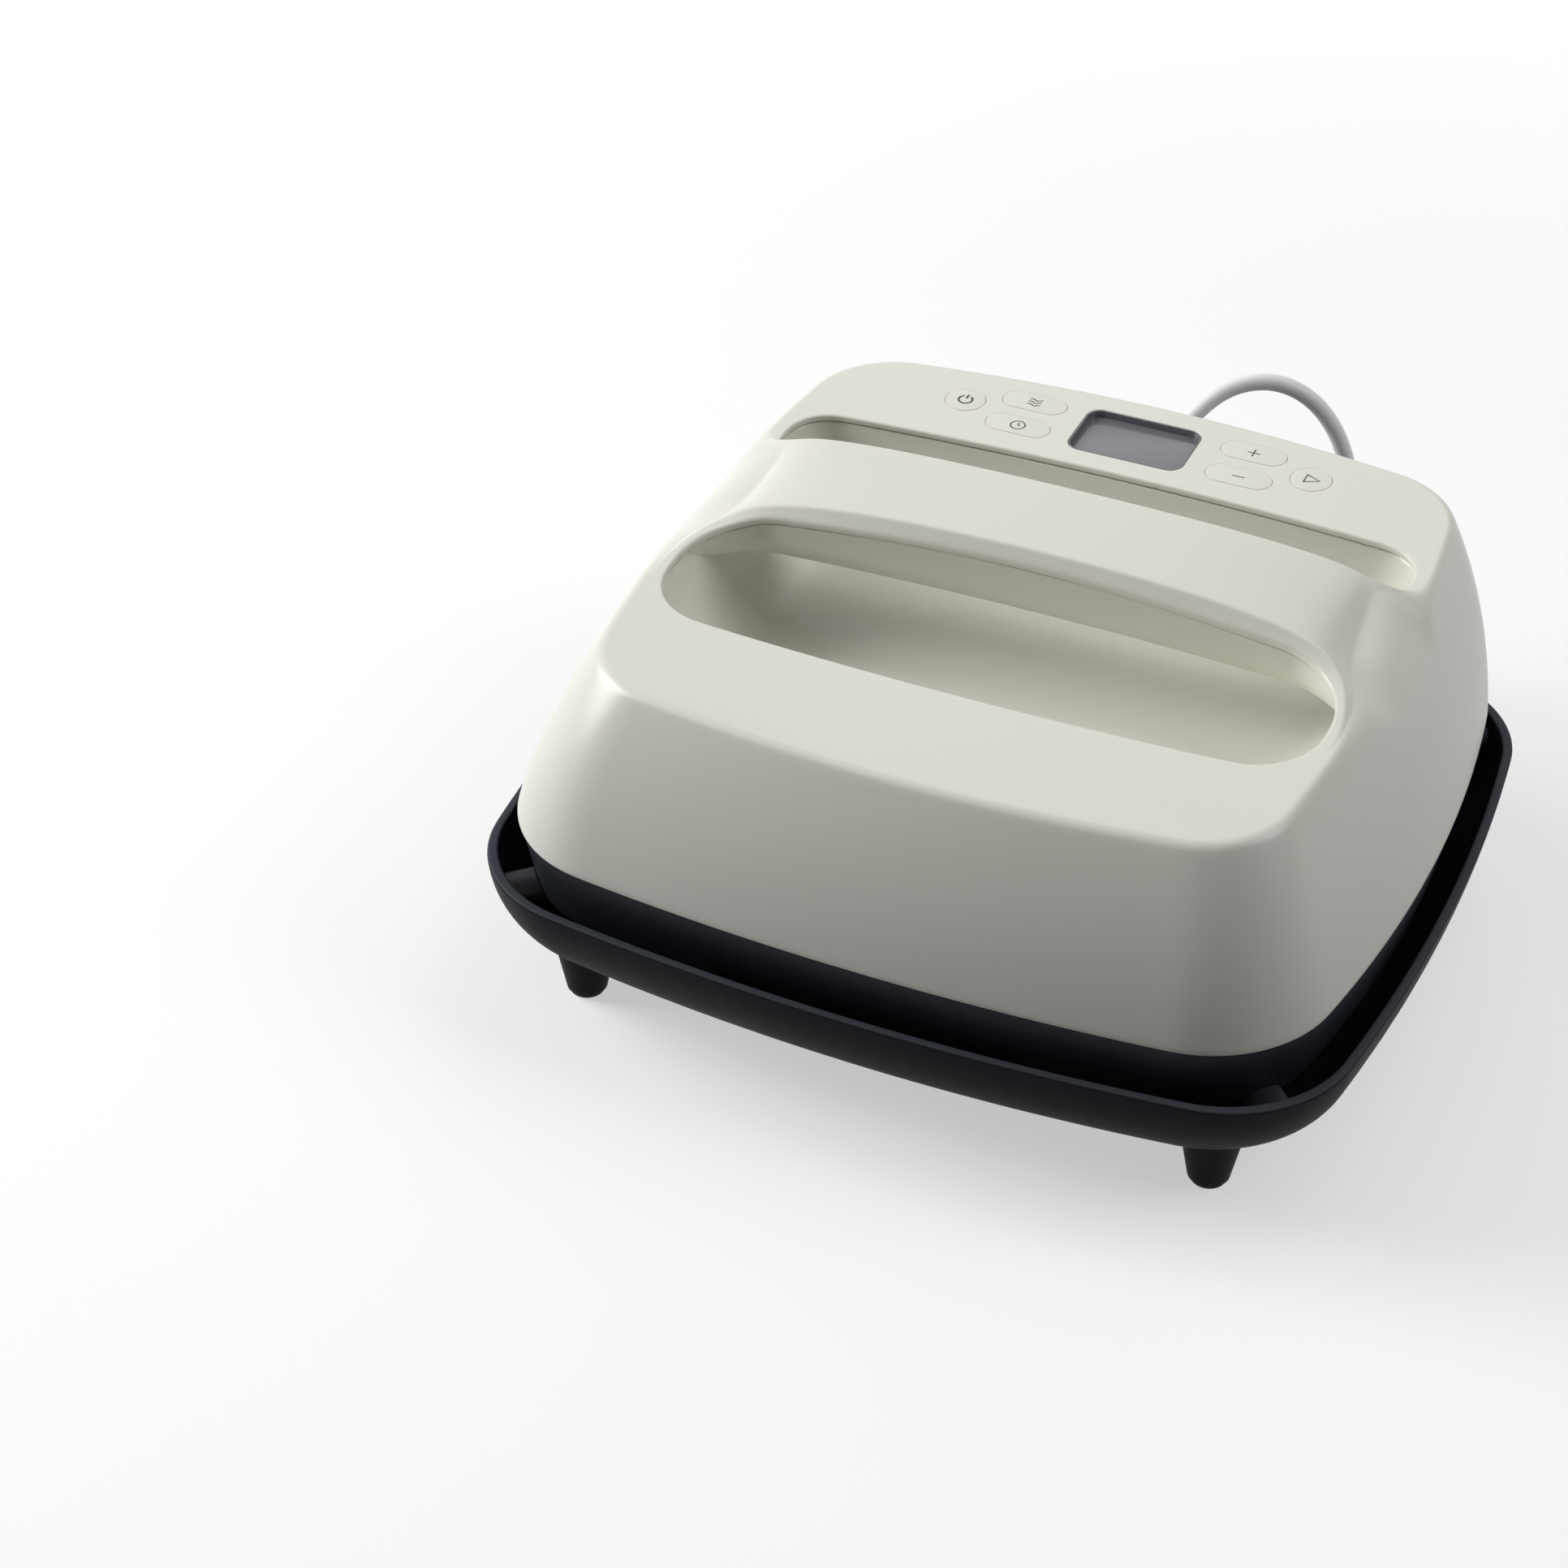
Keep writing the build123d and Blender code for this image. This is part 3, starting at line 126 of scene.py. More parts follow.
# Bowl under the strap: outlines at its mouth and its floor, then share of the depth and of the taper by row
BOWL_TOP = Shape(259.2, HAND.front, SLOT.rear, HAND.side_bow, 5.0, 5.0, HAND.corner, SLOT.rear_corner)
BOWL_BOTTOM = Shape(212.0, -34.0, 72.0, HAND.side_bow, 5.0, 5.0, 34.0, 34.0)
BOWL_PROFILE = ((0.2, 0.05), (0.45, 0.16), (0.65, 0.3), (0.82, 0.5), (0.93, 0.74), (0.98, 0.93), (1.0, 1.12))
BOWL_FLOOR, BOWL_WALL, BOWL_ROOM, BOWL_SEAM = 99.0, 1.5, 3.0, 0.35
BOWL_FLANGE, BOWL_LIP, BOWL_LIP_DEPTH = 1.6, 0.12, 0.004
BOWL_FLOOR_SHARES, BOWL_STEPS = (0.75, 0.45, 0.2), (56, 40, 56, 40)
# Lower shell of the strap: where its ends start to draw in, room at the ends, lift of its front lip and seam
GRIP_STRAIGHT, GRIP_ROOM, GRIP_LIFT, GRIP_SEAM = 95.0, 1.0, 3.0, 0.9
# Share of the lift by distance behind the middle and by height, each with its slope
GRIP_LIP = ((-4.3, 0.0, 0.0), (9.0, 1.0, 0.0), (14.0, 1.0, 0.0), (24.0, 0.0, 0.0))
GRIP_UPPER = ((139.0, 0.0, 0.0), (145.0, 1.0, 0.0))

# Skirt below the shell: inset at its top, taper over its height, wall, and drop and inset by row
SKIRT_HEIGHT, SKIRT_INSET, SKIRT_TAPER, SKIRT_WALL, SKIRT_WEB = 28.0, 0.9, 5.0, 2.6, 5.0
SKIRT_GAP, SKIRT_FLANGE, SKIRT_EDGE = 0.05, 20.0, 0.5
SKIRT_ROWS = ((SKIRT_GAP, SKIRT_FLANGE), (SKIRT_GAP, SKIRT_EDGE), (SKIRT_EDGE, 0.0), (SKIRT_HEIGHT / 2, 0.0),
              (SKIRT_HEIGHT - SKIRT_EDGE, 0.0), (SKIRT_HEIGHT, SKIRT_EDGE), (SKIRT_HEIGHT, SKIRT_WALL),
              (SKIRT_WEB, SKIRT_WALL))
SKIRT_STEPS = (48, 40, 48, 40)
# Painted highlight: heights of a paler band along the top of the stand
RIM_HIGHLIGHT_BAND = (56.3, 56.9)

# Controls on the rear deck: places of their middles along the deck, sizes and edges
DISPLAY_PLACE, DISPLAY_SIZE, DISPLAY_CHAMFER = (0.0, 121.2), (48.0, 31.3, 6.0), 0.2
BUTTONS = {
    "power_button": (-72.3, 121.8), "start_button": (72.3, 121.8),
    "heat_button": (-46.0, 130.7), "timer_button": (-46.0, 112.5),
    "plus_button": (46.0, 130.7), "minus_button": (46.0, 112.5),
}
ROUND_BUTTONS, ROUND_DIA = ("power_button", "start_button"), 16.4
PILL_LENGTH, PILL_WIDTH = 27.0, 12.4
BUTTON_PROUD, BUTTON_GAP, BUTTON_CHAMFER = 0.1, 0.2, 0.07
CUT_BOTTOM, CUT_TOP = -6.0, 3.0
CORNER_STEPS, CORNER_TRIM = 10, 1e-4
# Growth and height by row: a cap, the crest of the display's wall, its foot and end, and the display
CAP_ROWS = ((0.0, -3.0), (0.0, BUTTON_PROUD - 0.1), (-0.06, BUTTON_PROUD - 0.02), (-0.2, BUTTON_PROUD))
WALL_CREST = ((-0.12, -0.3), (-0.25, -0.16), (-0.5, -0.12), (-0.75, -0.22), (-0.85, -0.5))
WALL_FOOT, WALL_END = ((-1.1, -0.3), (-0.12, -0.3)), ((-1.1, -0.1),)
GLASS_ROWS = ((-0.95, -0.25), (-0.95, -0.04), (-1.15, 0.0))

# Icons: weight of their lines and flatness of the print
ICON_WEIGHT, ICON_FLAT, ICON_ROUNDNESS = {"start_button": 1.8, "power_button": 1.45}, 0.12, 2

# Cord: heights between which it follows the press, the free stretch from the boot to the floor, then the coil
CORD_DIA, CORD_ROUNDNESS, CORD_FINENESS = 7.0, 5, 8
CORD_ROUTE = (
    (-1.0, 169.6, 119.6), (6.5, 178.6, 131.2), (17.2, 189.2, 139.9), (31.4, 199.4, 140.4), (45.4, 206.3, 132.6),
    (56.4, 209.8, 118.6), (63.8, 210.6, 100.4), (66.8, 208.6, 80.4), (65.2, 204.8, 60.0), (59.4, 200.2, 40.8),
    (49.6, 195.8, 24.4), (35.6, 192.4, 12.4), (18.6, 190.4, 6.2), (1.2, 190.0, 4.8), (-15.0, 190.0, 4.8),
)
COIL_OUTER, COIL_PITCH, COIL_LIFT, COIL_HALF_TURNS, COIL_TAIL, COIL_STEPS = 54.9, 14.0, 10.4, 5, 50.0, 6

# Angles in degrees above which an edge is shown sharp, on drawn pieces and on copies of the solids
SHARP_DRAWN, SHARP_COPY = 40.0, 32.0

# Stage in metres: camera, floor, lights with place, size and watts, and the sky's light on the object
CAMERA_PLACE, CAMERA_TURN = (0.3829, -1.0232, 0.8612), (math.radians(53.628), 0, math.radians(25.0655))
CAMERA_SENSOR, CAMERA_END = 36.0, 50.0
FLOOR_SIZE = 6.0
# Share of white in the floor as it is seen, which doesn't light the object, and where it grows to one
FLOOR_GLOW, FLOOR_FADE = 0.53, (0.45, 2.0)
LIGHTS = (
    ("key", (-1.9, -0.3, 1.1), (1.2, 1.2), 45.0), ("soft", (-1.45, -0.25, 1.95), (1.8, 2.2), 7.0),
    ("top", (0.6, 0.9, 2.0), (1.2, 1.2), 8.0), ("side", (1.5, 0.4, 1.4), (1.0, 1.0), 11.5),
    ("rear", (-0.3, 1.6, 1.6), (1.2, 1.2), 4.0),
)
LIGHT_AIM, SKY_LIGHT = (0, 0, 0.1), 0.03
WHITE = (1, 1, 1, 1)


def length(name, description, default):
    return FloatProperty(name=name, description=description, default=default, unit="LENGTH")


def shade(name, description, default):
    return FloatVectorProperty(name=name, description=description, default=default, subtype="COLOR", size=3)


class PressSizes(bpy.types.PropertyGroup):
    """Sizes that may be changed without touching the frame."""
    deck_round: length("Deck edge", "Reach of the rounding along the deck's edge", 0.0026)
    hand_round: length("Hand opening edge", "Rounding of the hand opening's edge", 0.0013)
    slot_round: length("Slot edge", "Rounding of the finger slot's edge", 0.0012)
    shell_wall: length("Shell wall", "Thickness of the shown shell", 0.0012)
    icon_line: length("Icon line", "Width of the printed icon lines", 0.00065)
    display_depth: length("Display depth", "Depth of the display window below the deck", 0.0027)
    lens: FloatProperty(name="Camera lens", description="Focal length of the camera in millimetres", default=81.07)


class PressColours(bpy.types.PropertyGroup):
    """Colours of the finishes."""
    shell: shade("Shell", "Cream moulded shell", (0.745, 0.735, 0.662))
    skirt: shade("Skirt", "Dark moulded skirt", (0.013, 0.0155, 0.022))
    tray: shade("Tray", "Dark moulded stand", (0.0062, 0.0076, 0.011))
    icon: shade("Icons", "Printed icon lines", (0.045, 0.043, 0.036))
    display: shade("Display", "Display behind its lens", (0.145, 0.142, 0.162))
    bezel: shade("Display wall", "Glossy wall round the display", (0.115, 0.11, 0.13))
    # Paler colour of the stand's top edge, which is a painted highlight
    rim: shade("Tray rim", "Painted highlight along the stand's top edge", (0.045, 0.049, 0.062))
    cord: shade("Cord", "Pale cord sheath", (0.88, 0.88, 0.90))
    floor: shade("Floor", "Floor's own shade, which carries the shadow", (0.47, 0.47, 0.47))
    floor_bounce: shade("Floor bounce", "Floor as it lights the object from below", (0.10, 0.10, 0.105))


def sizes():
    return bpy.context.scene.press_sizes


def colours():
    return bpy.context.scene.press_colours


# Plan outlines

def mix(a, b, share):
    return a + (b - a) * share


def between(a, b, share):
    """Shape at a share of the way from one shape to another."""
    return Shape(*(mix(first, second, share) for first, second in zip(a, b)))


def circle_through(a, b, c):
    """Centre and radius of the circle through three plan points."""
    ab, ac = b - a, c - a
    twice = 2 * (ab.x * ac.y - ab.y * ac.x)
    x = (ac.y * ab.length_squared - ab.y * ac.length_squared) / twice
    y = (ab.x * ac.length_squared - ac.x * ab.length_squared) / twice
    return a + Vector((x, y)), math.hypot(x, y)


def circles_meet(centre_a, radius_a, centre_b, radius_b, near):
    """Crossing of two circles that lies nearest to a plan point."""
    apart = centre_b - centre_a
    along = (radius_a**2 - radius_b**2 + apart.length_squared) / (2 * apart.length)
    across = math.sqrt(radius_a**2 - along**2)
    foot = centre_a + apart.normalized() * along
    side = Vector((-apart.y, apart.x)).normalized() * across
    return min(foot + side, foot - side, key=lambda point: (point - near).length)


def bearing(vector):
    return math.atan2(vector.y, vector.x)


class Outline:
    """Rounded rectangle with bowed sides in plan. A side runs from one mid-corner to the next."""

    def __init__(self, shape, grow=0.0):
        half, front, rear = shape.width / 2 + grow, shape.front - grow, shape.rear + grow
        x, low, high = half - shape.side_bow, front + shape.front_bow, rear - shape.rear_bow
        corners = [Vector(corner) for corner in ((-x, low), (x, low), (x, high), (-x, high))]
        middle = (front + rear) / 2
        bulges = [Vector(bulge) for bulge in ((0, front), (half, middle), (0, rear), (-half, middle))]
        radii = [radius + grow for radius in (shape.corner, shape.corner, shape.rear_corner, shape.rear_corner)]
        arcs = [circle_through(corners[k], bulges[k], corners[(k + 1) % 4]) for k in range(4)]
        centres = []
        for k in range(4):
            (before, before_radius), (after, after_radius) = arcs[k - 1], arcs[k]
            centres.append(circles_meet(before, before_radius - radii[k], after, after_radius - radii[k], corners[k]))
        self.sides = []
        for k in range(4):
            after = (k + 1) % 4
            start = bearing(centres[k] - arcs[k][0])
            end = start + (bearing(centres[after] - arcs[k][0]) - start) % math.tau
            turn_in = (start - bearing(centres[k] - arcs[k - 1][0])) % math.tau / 2
            turn_out = (bearing(centres[after] - arcs[after][0]) - end) % math.tau / 2
            self.sides.append((
                (centres[k], radii[k], start - turn_in, turn_in), (*arcs[k], start, end - start),
                (centres[after], radii[after], end, turn_out)))
        self.lengths = [sum(radius * turn for _, radius, _, turn in side) for side in self.sides]
        self.side_arc = arcs[1]

    def point(self, side, share):
        """Plan point at a share of the length of a side."""
        left = share * self.lengths[side]
        for centre, radius, start, turn in self.sides[side]:
            angle = start + min(left / radius, turn)
            if left <= radius * turn:
                break
            left -= radius * turn
        return centre + Vector((math.cos(angle), math.sin(angle))) * radius

    def place(self, distance):
        """Side and share of its length at a distance from the front left corner."""
        distance %= sum(self.lengths)
        for side, length_here in enumerate(self.lengths):
            if distance <= length_here or side == 3:
                return side, min(distance / length_here, 1.0)
            distance -= length_here

    def half_width(self, y):
        """Distance of the right side from the middle line at a distance y behind the middle."""
        centre, radius = self.side_arc
        return centre.x + math.sqrt(max(radius**2 - (y - centre.y) ** 2, 0))


# Heights of the housing

def deck_height(y):
    return DECK_ORIGIN + y * math.tan(DECK_TILT)


def flank_section(share):
    """Outline of the housing at a share of the way up, bulged without a change of its corners."""
    bulge = 4 * FLANK_BULGE * share * (1 - share)
    shape = between(BASE, DECK, share)
    return Outline(shape._replace(corner=shape.corner - bulge, rear_corner=shape.rear_corner - bulge), bulge)


def flank_height(share, y):
    return mix(HOUSING_BOTTOM, DECK_ORIGIN, share) + y * math.tan(share * DECK_TILT)


def hermite(x, knots):
    """Height on a smooth curve through knots of place, height and slope."""
    if x <= knots[0][0]:
        return knots[0][1] + (x - knots[0][0]) * knots[0][2]
    for (x0, h0, s0), (x1, h1, s1) in zip(knots, knots[1:]):
        if x <= x1:
            run = x1 - x0
            t = (x - x0) / run
            return ((1 + 2 * t) * (1 - t) ** 2 * h0 + t * (1 - t) ** 2 * run * s0
                    + t * t * (3 - 2 * t) * h1 + t * t * (t - 1) * run * s1)
    return knots[-1][1] + (x - knots[-1][0]) * knots[-1][2]


def sloped(knots):
    """Knots of place and value with the slopes of a smooth curve, level past its ends."""
    inner = [(*here, (after[1] - before[1]) / (after[0] - before[0]))
             for before, here, after in zip(knots, knots[1:], knots[2:])]
    return [(*knots[0], 0.0), *inner, (*knots[-1], 0.0)]


DECK_OUTLINE = flank_section(1.0)
RAMP_KNOTS = [(place, DECK_ORIGIN + rise, math.tan(math.radians(slope))) for place, rise, slope in RAMP]
NOTCH_INSET = sloped([(place, inset) for place, inset, _ in NOTCH])
NOTCH_RISE = sloped([(place, rise) for place, _, rise in NOTCH])


def notch_inset(y):
    return hermite(y, NOTCH_INSET)


def strap_reach(y):
    """Distance of the strap's end from the middle line."""
    return DECK_OUTLINE.half_width(y) - notch_inset(y)


def crown_height(x, y):
    """Height of the strap's rolled crown above the plan point."""
    full = STRAP_RISE + (y - STRAP_LINE) * (math.tan(STRAP_TILT) - math.tan(DECK_TILT))
    share = hermite(min(abs(x) / strap_reach(y), 1.0), STRAP_ROLL)
    return deck_height(y) + mix(hermite(y, NOTCH_RISE), full, share)


def smooth_min(a, b, reach):
    share = max(0.0, min(1.0, 0.5 + (b - a) / (2 * reach)))
    return mix(b, a, share) - reach * share * (1 - share)


def top_height(x, y):
    """Height of the decks and the strap above a plan point."""
    if y <= RAMP[0][0]:
        return deck_height(y)
    crown = crown_height(x, y)
    if y <= STRAP_REAR:
        return max(deck_height(y), smooth_min(crown, hermite(y, RAMP_KNOTS), STRAP_EDGE))
    reach = STRAP_REAR + STRAP_COVE - y
    cove = STRAP_COVE - math.sqrt(STRAP_COVE**2 - reach**2) if reach > 0 else 0.0
    return deck_height(y) + max(0.0, min(crown - deck_height(y), cove))


def strap_rows(x, first, last, count):
    """Places along y from one opening to the other, crowded round the strap's front edge."""
    low, high = first, last
    for _ in range(HALVINGS):
        middle = (low + high) / 2
        if hermite(middle, RAMP_KNOTS) < crown_height(x, middle):
            low = middle
        else:
            high = middle
    crowd = [low + shift for shift in CREASE]
    rows = [first, (first + crowd[0]) / 2, *crowd]
    if rows[1] < first + CREASE_ROOM:
        return [mix(first, last, k / count) for k in range(count + 1)]
    left = count + 1 - len(rows)
    return rows + [mix(rows[-1], last, (k + 1) / left) for k in range(left)]


# Meshes and pieces

def over(plan, height):
    return Vector((plan.x, plan.y, height))


def on_top(plan):
    return over(plan, top_height(*plan))


def bezier(a, b, c, share):
    return a * (1 - share) ** 2 + b * (2 * share * (1 - share)) + c * share**2


def ring_edges(bm, layer, ring):
    """Open edges between the points of a numbered ring."""
    return [edge for edge in bm.edges
            if edge.is_boundary and all(vert[layer] // RING == ring for vert in edge.verts)]


def add_rings(bm, layer, edges, places):
    """Extrudes a numbered loop of edges through rows of places, keyed by the points' numbers."""
    for row in places:
        new = bmesh.ops.extrude_edge_only(bm, edges=edges)["geom"]
        for vert in (part for part in new if isinstance(part, bmesh.types.BMVert)):
            vert.co = row[vert[layer]]
        edges = [part for part in new if isinstance(part, bmesh.types.BMEdge)
                 and all((vert.co - row[vert[layer]]).length < NEAR for vert in part.verts)]
    return edges


def ring_stack(rows):
    """Mesh of a drawn loop and the loops extruded from it, with the edges of the first and the last loop."""
    bm = bmesh.new()
    layer = bm.verts.layers.int.new("ring")
    verts = []
    for number, place in rows[0].items():
        verts.append(bm.verts.new(place))
        verts[-1][layer] = number
    edges = loop_edges(bm, verts)
    return bm, edges, add_rings(bm, layer, edges, rows[1:])


def loop_edges(bm, verts):
    return [bm.edges.new((verts[k - 1], verts[k])) for k in range(len(verts))]


def outline_row(outline, steps, height):
    """Numbered places round an outline, with the height given for each plan point."""
    plan = [outline.point(side, step / count) for side, count in enumerate(steps) for step in range(count)]
    return {number: over(point, height(point)) for number, point in enumerate(plan)}


def close(bm, *loops):
    """Fills each closed loop of edges with a face."""
    for loop in loops:
        bmesh.ops.contextual_create(bm, geom=loop)


def face_out(bm):
    bmesh.ops.recalc_face_normals(bm, faces=bm.faces)


def face_up(bm):
    """Turns the faces of an open shell the same way, upwards on the whole."""
    face_out(bm)
    if sum(face.normal.z * face.calc_area() for face in bm.faces) < 0:
        bmesh.ops.reverse_faces(bm, faces=bm.faces)


def mesh_from(bm, name):
    mesh = bpy.data.meshes.new(name)
    bm.to_mesh(mesh)
    bm.free()
    return mesh


def link(name, data):
    """New object in the scene."""
    item = bpy.data.objects.new(name, data)
    bpy.context.scene.collection.objects.link(item)
    return item


def shown_mesh(item):
    """Mesh of an object as it is shown, with its modifiers or its bevel."""
    bpy.context.view_layer.update()
    return bpy.data.meshes.new_from_object(item.evaluated_get(bpy.context.evaluated_depsgraph_get()))


def soften(mesh, sharp=SHARP_DRAWN):
    mesh.shade_smooth()
    mesh.set_sharp_from_angle(angle=math.radians(sharp))


def piece_from(bm, name, body, slot, look=None, scale=1.0, sharp=SHARP_DRAWN):
    """Turns a mesh into a piece that rides on a body."""
    bmesh.ops.scale(bm, vec=(scale,) * 3, verts=bm.verts)
    mesh = mesh_from(bm, name)
    soften(mesh, sharp)
    mesh.materials.append(finish(look or slot))
    piece = link(name, mesh)
    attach(piece, body)
    return piece


def apply_modifiers(piece):
    """Replaces a piece's mesh by the result of its modifiers."""
    mesh = shown_mesh(piece)
    piece.modifiers.clear()
    piece.data = mesh
    soften(mesh)


def thicken(piece, thickness):
    """Gives an open shell its wall and smooths it."""
    wall = piece.modifiers.new("Wall", "SOLIDIFY")
    wall.thickness, wall.offset = thickness, -1.0
    smooth = piece.modifiers.new("Smooth", "SUBSURF")
    smooth.levels = smooth.render_levels = 1
    apply_modifiers(piece)


def smooth_copy(node, slot):
    """Merged copy of a CAD node with soft shading, which stands for the node."""
    bm = bmesh.new()
    bm.from_mesh(frame["nodes"][node].data)
    bmesh.ops.remove_doubles(bm, verts=bm.verts, dist=NEAR)
    piece = piece_from(bm, node + "_shown", frame["nodes"][node]["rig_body"], slot, sharp=SHARP_COPY)
    piece.modifiers.new("Soft shading", "WEIGHTED_NORMAL").keep_sharp = True
    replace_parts(piece, node)
    return piece


def new_curve(name, kind, lines, thickness, roundness):
    """Curve in metres along lines in millimetres: each has its points and whether it is closed."""
    curve = bpy.data.curves.new(name, "CURVE")
    curve.dimensions = "3D"
    curve.bevel_depth, curve.bevel_resolution, curve.use_fill_caps = thickness / 2, roundness, True
    for points, closed in lines:
        spline = curve.splines.new(kind)
        spline.points.add(len(points) - 1)
        for control, point in zip(spline.points, points):
            control.co = (*(Vector(point).to_3d() * MM), 1)
        spline.use_cyclic_u = closed
    return curve


def curve_mesh(curve):
    line = link(curve.name, curve)
    mesh = shown_mesh(line)
    bpy.data.objects.remove(line)
    return mesh


def curve_piece(curve, name, look):
    """Turns a curve into a piece that doesn't ride on a body yet."""
    mesh = curve_mesh(curve)
    bpy.data.curves.remove(curve)
    mesh.name = name
    mesh.materials.clear()
    mesh.materials.append(finish(look))
    piece = link(name, mesh)
    return piece


# Finishes

Finish = namedtuple("Finish", "name colour roughness grain depth change metallic specular", defaults=(0.0, 0.5))
# Finishes by slot: name, colour or its property, roughness, scale, depth and change of the grain, metal, gloss
FINISHES = {
    "cream_shell": ("Cream moulded shell", "shell", 0.30, 1800, 0.08, 0.012),
    "dark_skirt": ("Dark skirt", "skirt", 0.45, 2200, 0.2, 0.08, 0.0, 0.22),
    "dark_tray": ("Dark stand", "tray", 0.55, 1500, 0.3, 0.08, 0.0, 0.08),
    "support_plastic": ("Support plastic", (0.014, 0.016, 0.021), 0.5, 1500, 0.25, 0.06, 0.0, 0.3),
    "pad_rubber": ("Pad rubber", (0.012, 0.012, 0.013), 0.75, 3000, 0.4, 0.1),
    "plate_metal": ("Coated plate", (0.10, 0.10, 0.105), 0.42, 4000, 0.3, 0.05, 0.35),
    "element_steel": ("Element steel", (0.42, 0.40, 0.38), 0.35, 3000, 0.1, 0.06, 1.0),
    "screw_steel": ("Screw steel", (0.55, 0.55, 0.56), 0.3, 3000, 0.08, 0.05, 1.0),
    "insulation": ("Insulation", (0.62, 0.60, 0.54), 0.9, 900, 0.8, 0.12),
    "board_green": ("Board", (0.02, 0.13, 0.05), 0.4, 2500, 0.1, 0.1),
    "component_black": ("Component black", (0.015, 0.015, 0.016), 0.45, 2500, 0.15, 0.06),
    "component_blue": ("Component blue", (0.02, 0.06, 0.22), 0.4, 2500, 0.1, 0.06),
    "display_dark": ("Display lens", "display", 0.16, 2500, 0.01, 0.02),
    "cord_white": ("Cord sheath", "cord", 0.48, 2500, 0.12, 0.015),
    "tie_black": ("Tie", (0.02, 0.02, 0.02), 0.6, 2500, 0.4, 0.1),
    "pin_brass": ("Plug pins", (0.72, 0.60, 0.36), 0.25, 2500, 0.05, 0.05, 1.0),
    # Looks of pieces that share a slot, and of the floor
    "bezel": ("Display wall", "bezel", 0.10, 2500, 0.01, 0.02),
    "icon": ("Printed icon", "icon", 0.55, 3000, 0.05, 0.03),
    "floor": ("Floor", "floor", 0.8, 300, 0.02, 0.005, 0.0, 0.2),
}
# Scale of the slow changes, their reach into the roughness, and the grain's relief in metres
SLOW_SCALE, GLOSS_SWING, GRAIN_RELIEF = 14.0, 1.2, 0.0001


def set_inputs(tree, node, values):
    """Sets a node's inputs to values or joins them to other nodes' outputs."""
    for name, value in values.items():
        if isinstance(value, bpy.types.NodeSocket):
            tree.links.new(value, node.inputs[name])
        else:
            node.inputs[name].default_value = value


def add_node(tree, kind, values=None, **settings):
    """New shader node with its settings and inputs."""
    node = tree.nodes.new("ShaderNode" + kind)
    for name, value in settings.items():
        setattr(node, name, value)
    set_inputs(tree, node, values or {})
    return node


def grain_group():
    """Shared node group: moulded grain with slow changes of colour and gloss."""
    group = bpy.data.node_groups.get("Moulded grain")
    if group:
        return group
    group = bpy.data.node_groups.new("Moulded grain", "ShaderNodeTree")
    kinds = {"Colour": "NodeSocketColor", "Normal": "NodeSocketVector"}
    for end, names in (("INPUT", "Colour Roughness Grain Depth Change"), ("OUTPUT", "Colour Roughness Normal")):
        for name in names.split():
            group.interface.new_socket(name=name, in_out=end, socket_type=kinds.get(name, "NodeSocketFloat"))
    entry, leave = group.nodes.new("NodeGroupInput").outputs, group.nodes.new("NodeGroupOutput")
    place = add_node(group, "TexCoord").outputs["Object"]
    fine = add_node(group, "TexNoise", {"Vector": place, "Scale": entry["Grain"], "Detail": 3.0})
    slow = add_node(group, "TexNoise", {"Vector": place, "Scale": SLOW_SCALE, "Detail": 2.0})
    swing = add_node(group, "Math", {0: slow.outputs["Fac"], 1: 2.0, 2: -1.0}, operation="MULTIPLY_ADD")
    change = add_node(group, "Math", {0: swing.outputs[0], 1: entry["Change"]}, operation="MULTIPLY")
    lift = add_node(group, "Math", {0: change.outputs[0], 1: 1.0})
    tint = add_node(group, "VectorMath", {0: entry["Colour"], "Scale": lift.outputs[0]}, operation="SCALE")
    gloss = add_node(group, "Math", {0: change.outputs[0], 1: GLOSS_SWING, 2: entry["Roughness"]},
                     operation="MULTIPLY_ADD")
    bump = add_node(group, "Bump", {
        "Distance": GRAIN_RELIEF, "Strength": entry["Depth"], "Height": fine.outputs["Fac"]})
    set_inputs(group, leave, {"Colour": tint.outputs[0], "Roughness": gloss.outputs[0], "Normal": bump.outputs[0]})
    return group


def finish(look):
    """Material of one finish, with the shared grain."""
    row = Finish(*FINISHES[look])
    material = bpy.data.materials.get(row.name)
    if material:
        return material
    material = bpy.data.materials.new(row.name)
    material.use_nodes = True
    tree = material.node_tree
    colour = getattr(colours(), row.colour) if isinstance(row.colour, str) else row.colour
    grained = add_node(tree, "Group", {
        "Colour": (*colour, 1), "Roughness": row.roughness, "Grain": row.grain, "Depth": row.depth,
        "Change": row.change}, node_tree=grain_group()).outputs
    set_inputs(tree, tree.nodes["Principled BSDF"], {
        "Base Color": grained["Colour"], "Roughness": grained["Roughness"], "Normal": grained["Normal"],
        "Metallic": row.metallic, "Specular IOR Level": row.specular})
    # The stand's top edge gets a painted highlight
    if look == "dark_tray":
        paint_rim_highlight(tree)
    return material


def repaint(tree, factor, first=None, second=None):
    """Mixes the finish's own colour with one that comes first or second."""
    shader = tree.nodes["Principled BSDF"]
    own = shader.inputs["Base Color"].links[0].from_socket
    colour_a, colour_b = ((*colour, 1) if colour else own for colour in (first, second))
    paint = add_node(tree, "Mix", {"Factor": factor, "A": colour_a, "B": colour_b}, data_type="RGBA")
    set_inputs(tree, shader, {"Base Color": paint.outputs["Result"]})


def paint_rim_highlight(tree):
    """Painted highlight: a paler band along the top of the stand."""
    split = add_node(tree, "SeparateXYZ", {0: add_node(tree, "TexCoord").outputs["Object"]})
    rim_highlight = add_node(tree, "MapRange", {
        "Value": split.outputs["Z"], "From Min": RIM_HIGHLIGHT_BAND[0] * MM, "From Max": RIM_HIGHLIGHT_BAND[1] * MM},
        interpolation_type="SMOOTHSTEP")
    repaint(tree, rim_highlight.outputs[0], second=colours().rim)


# Upper shell

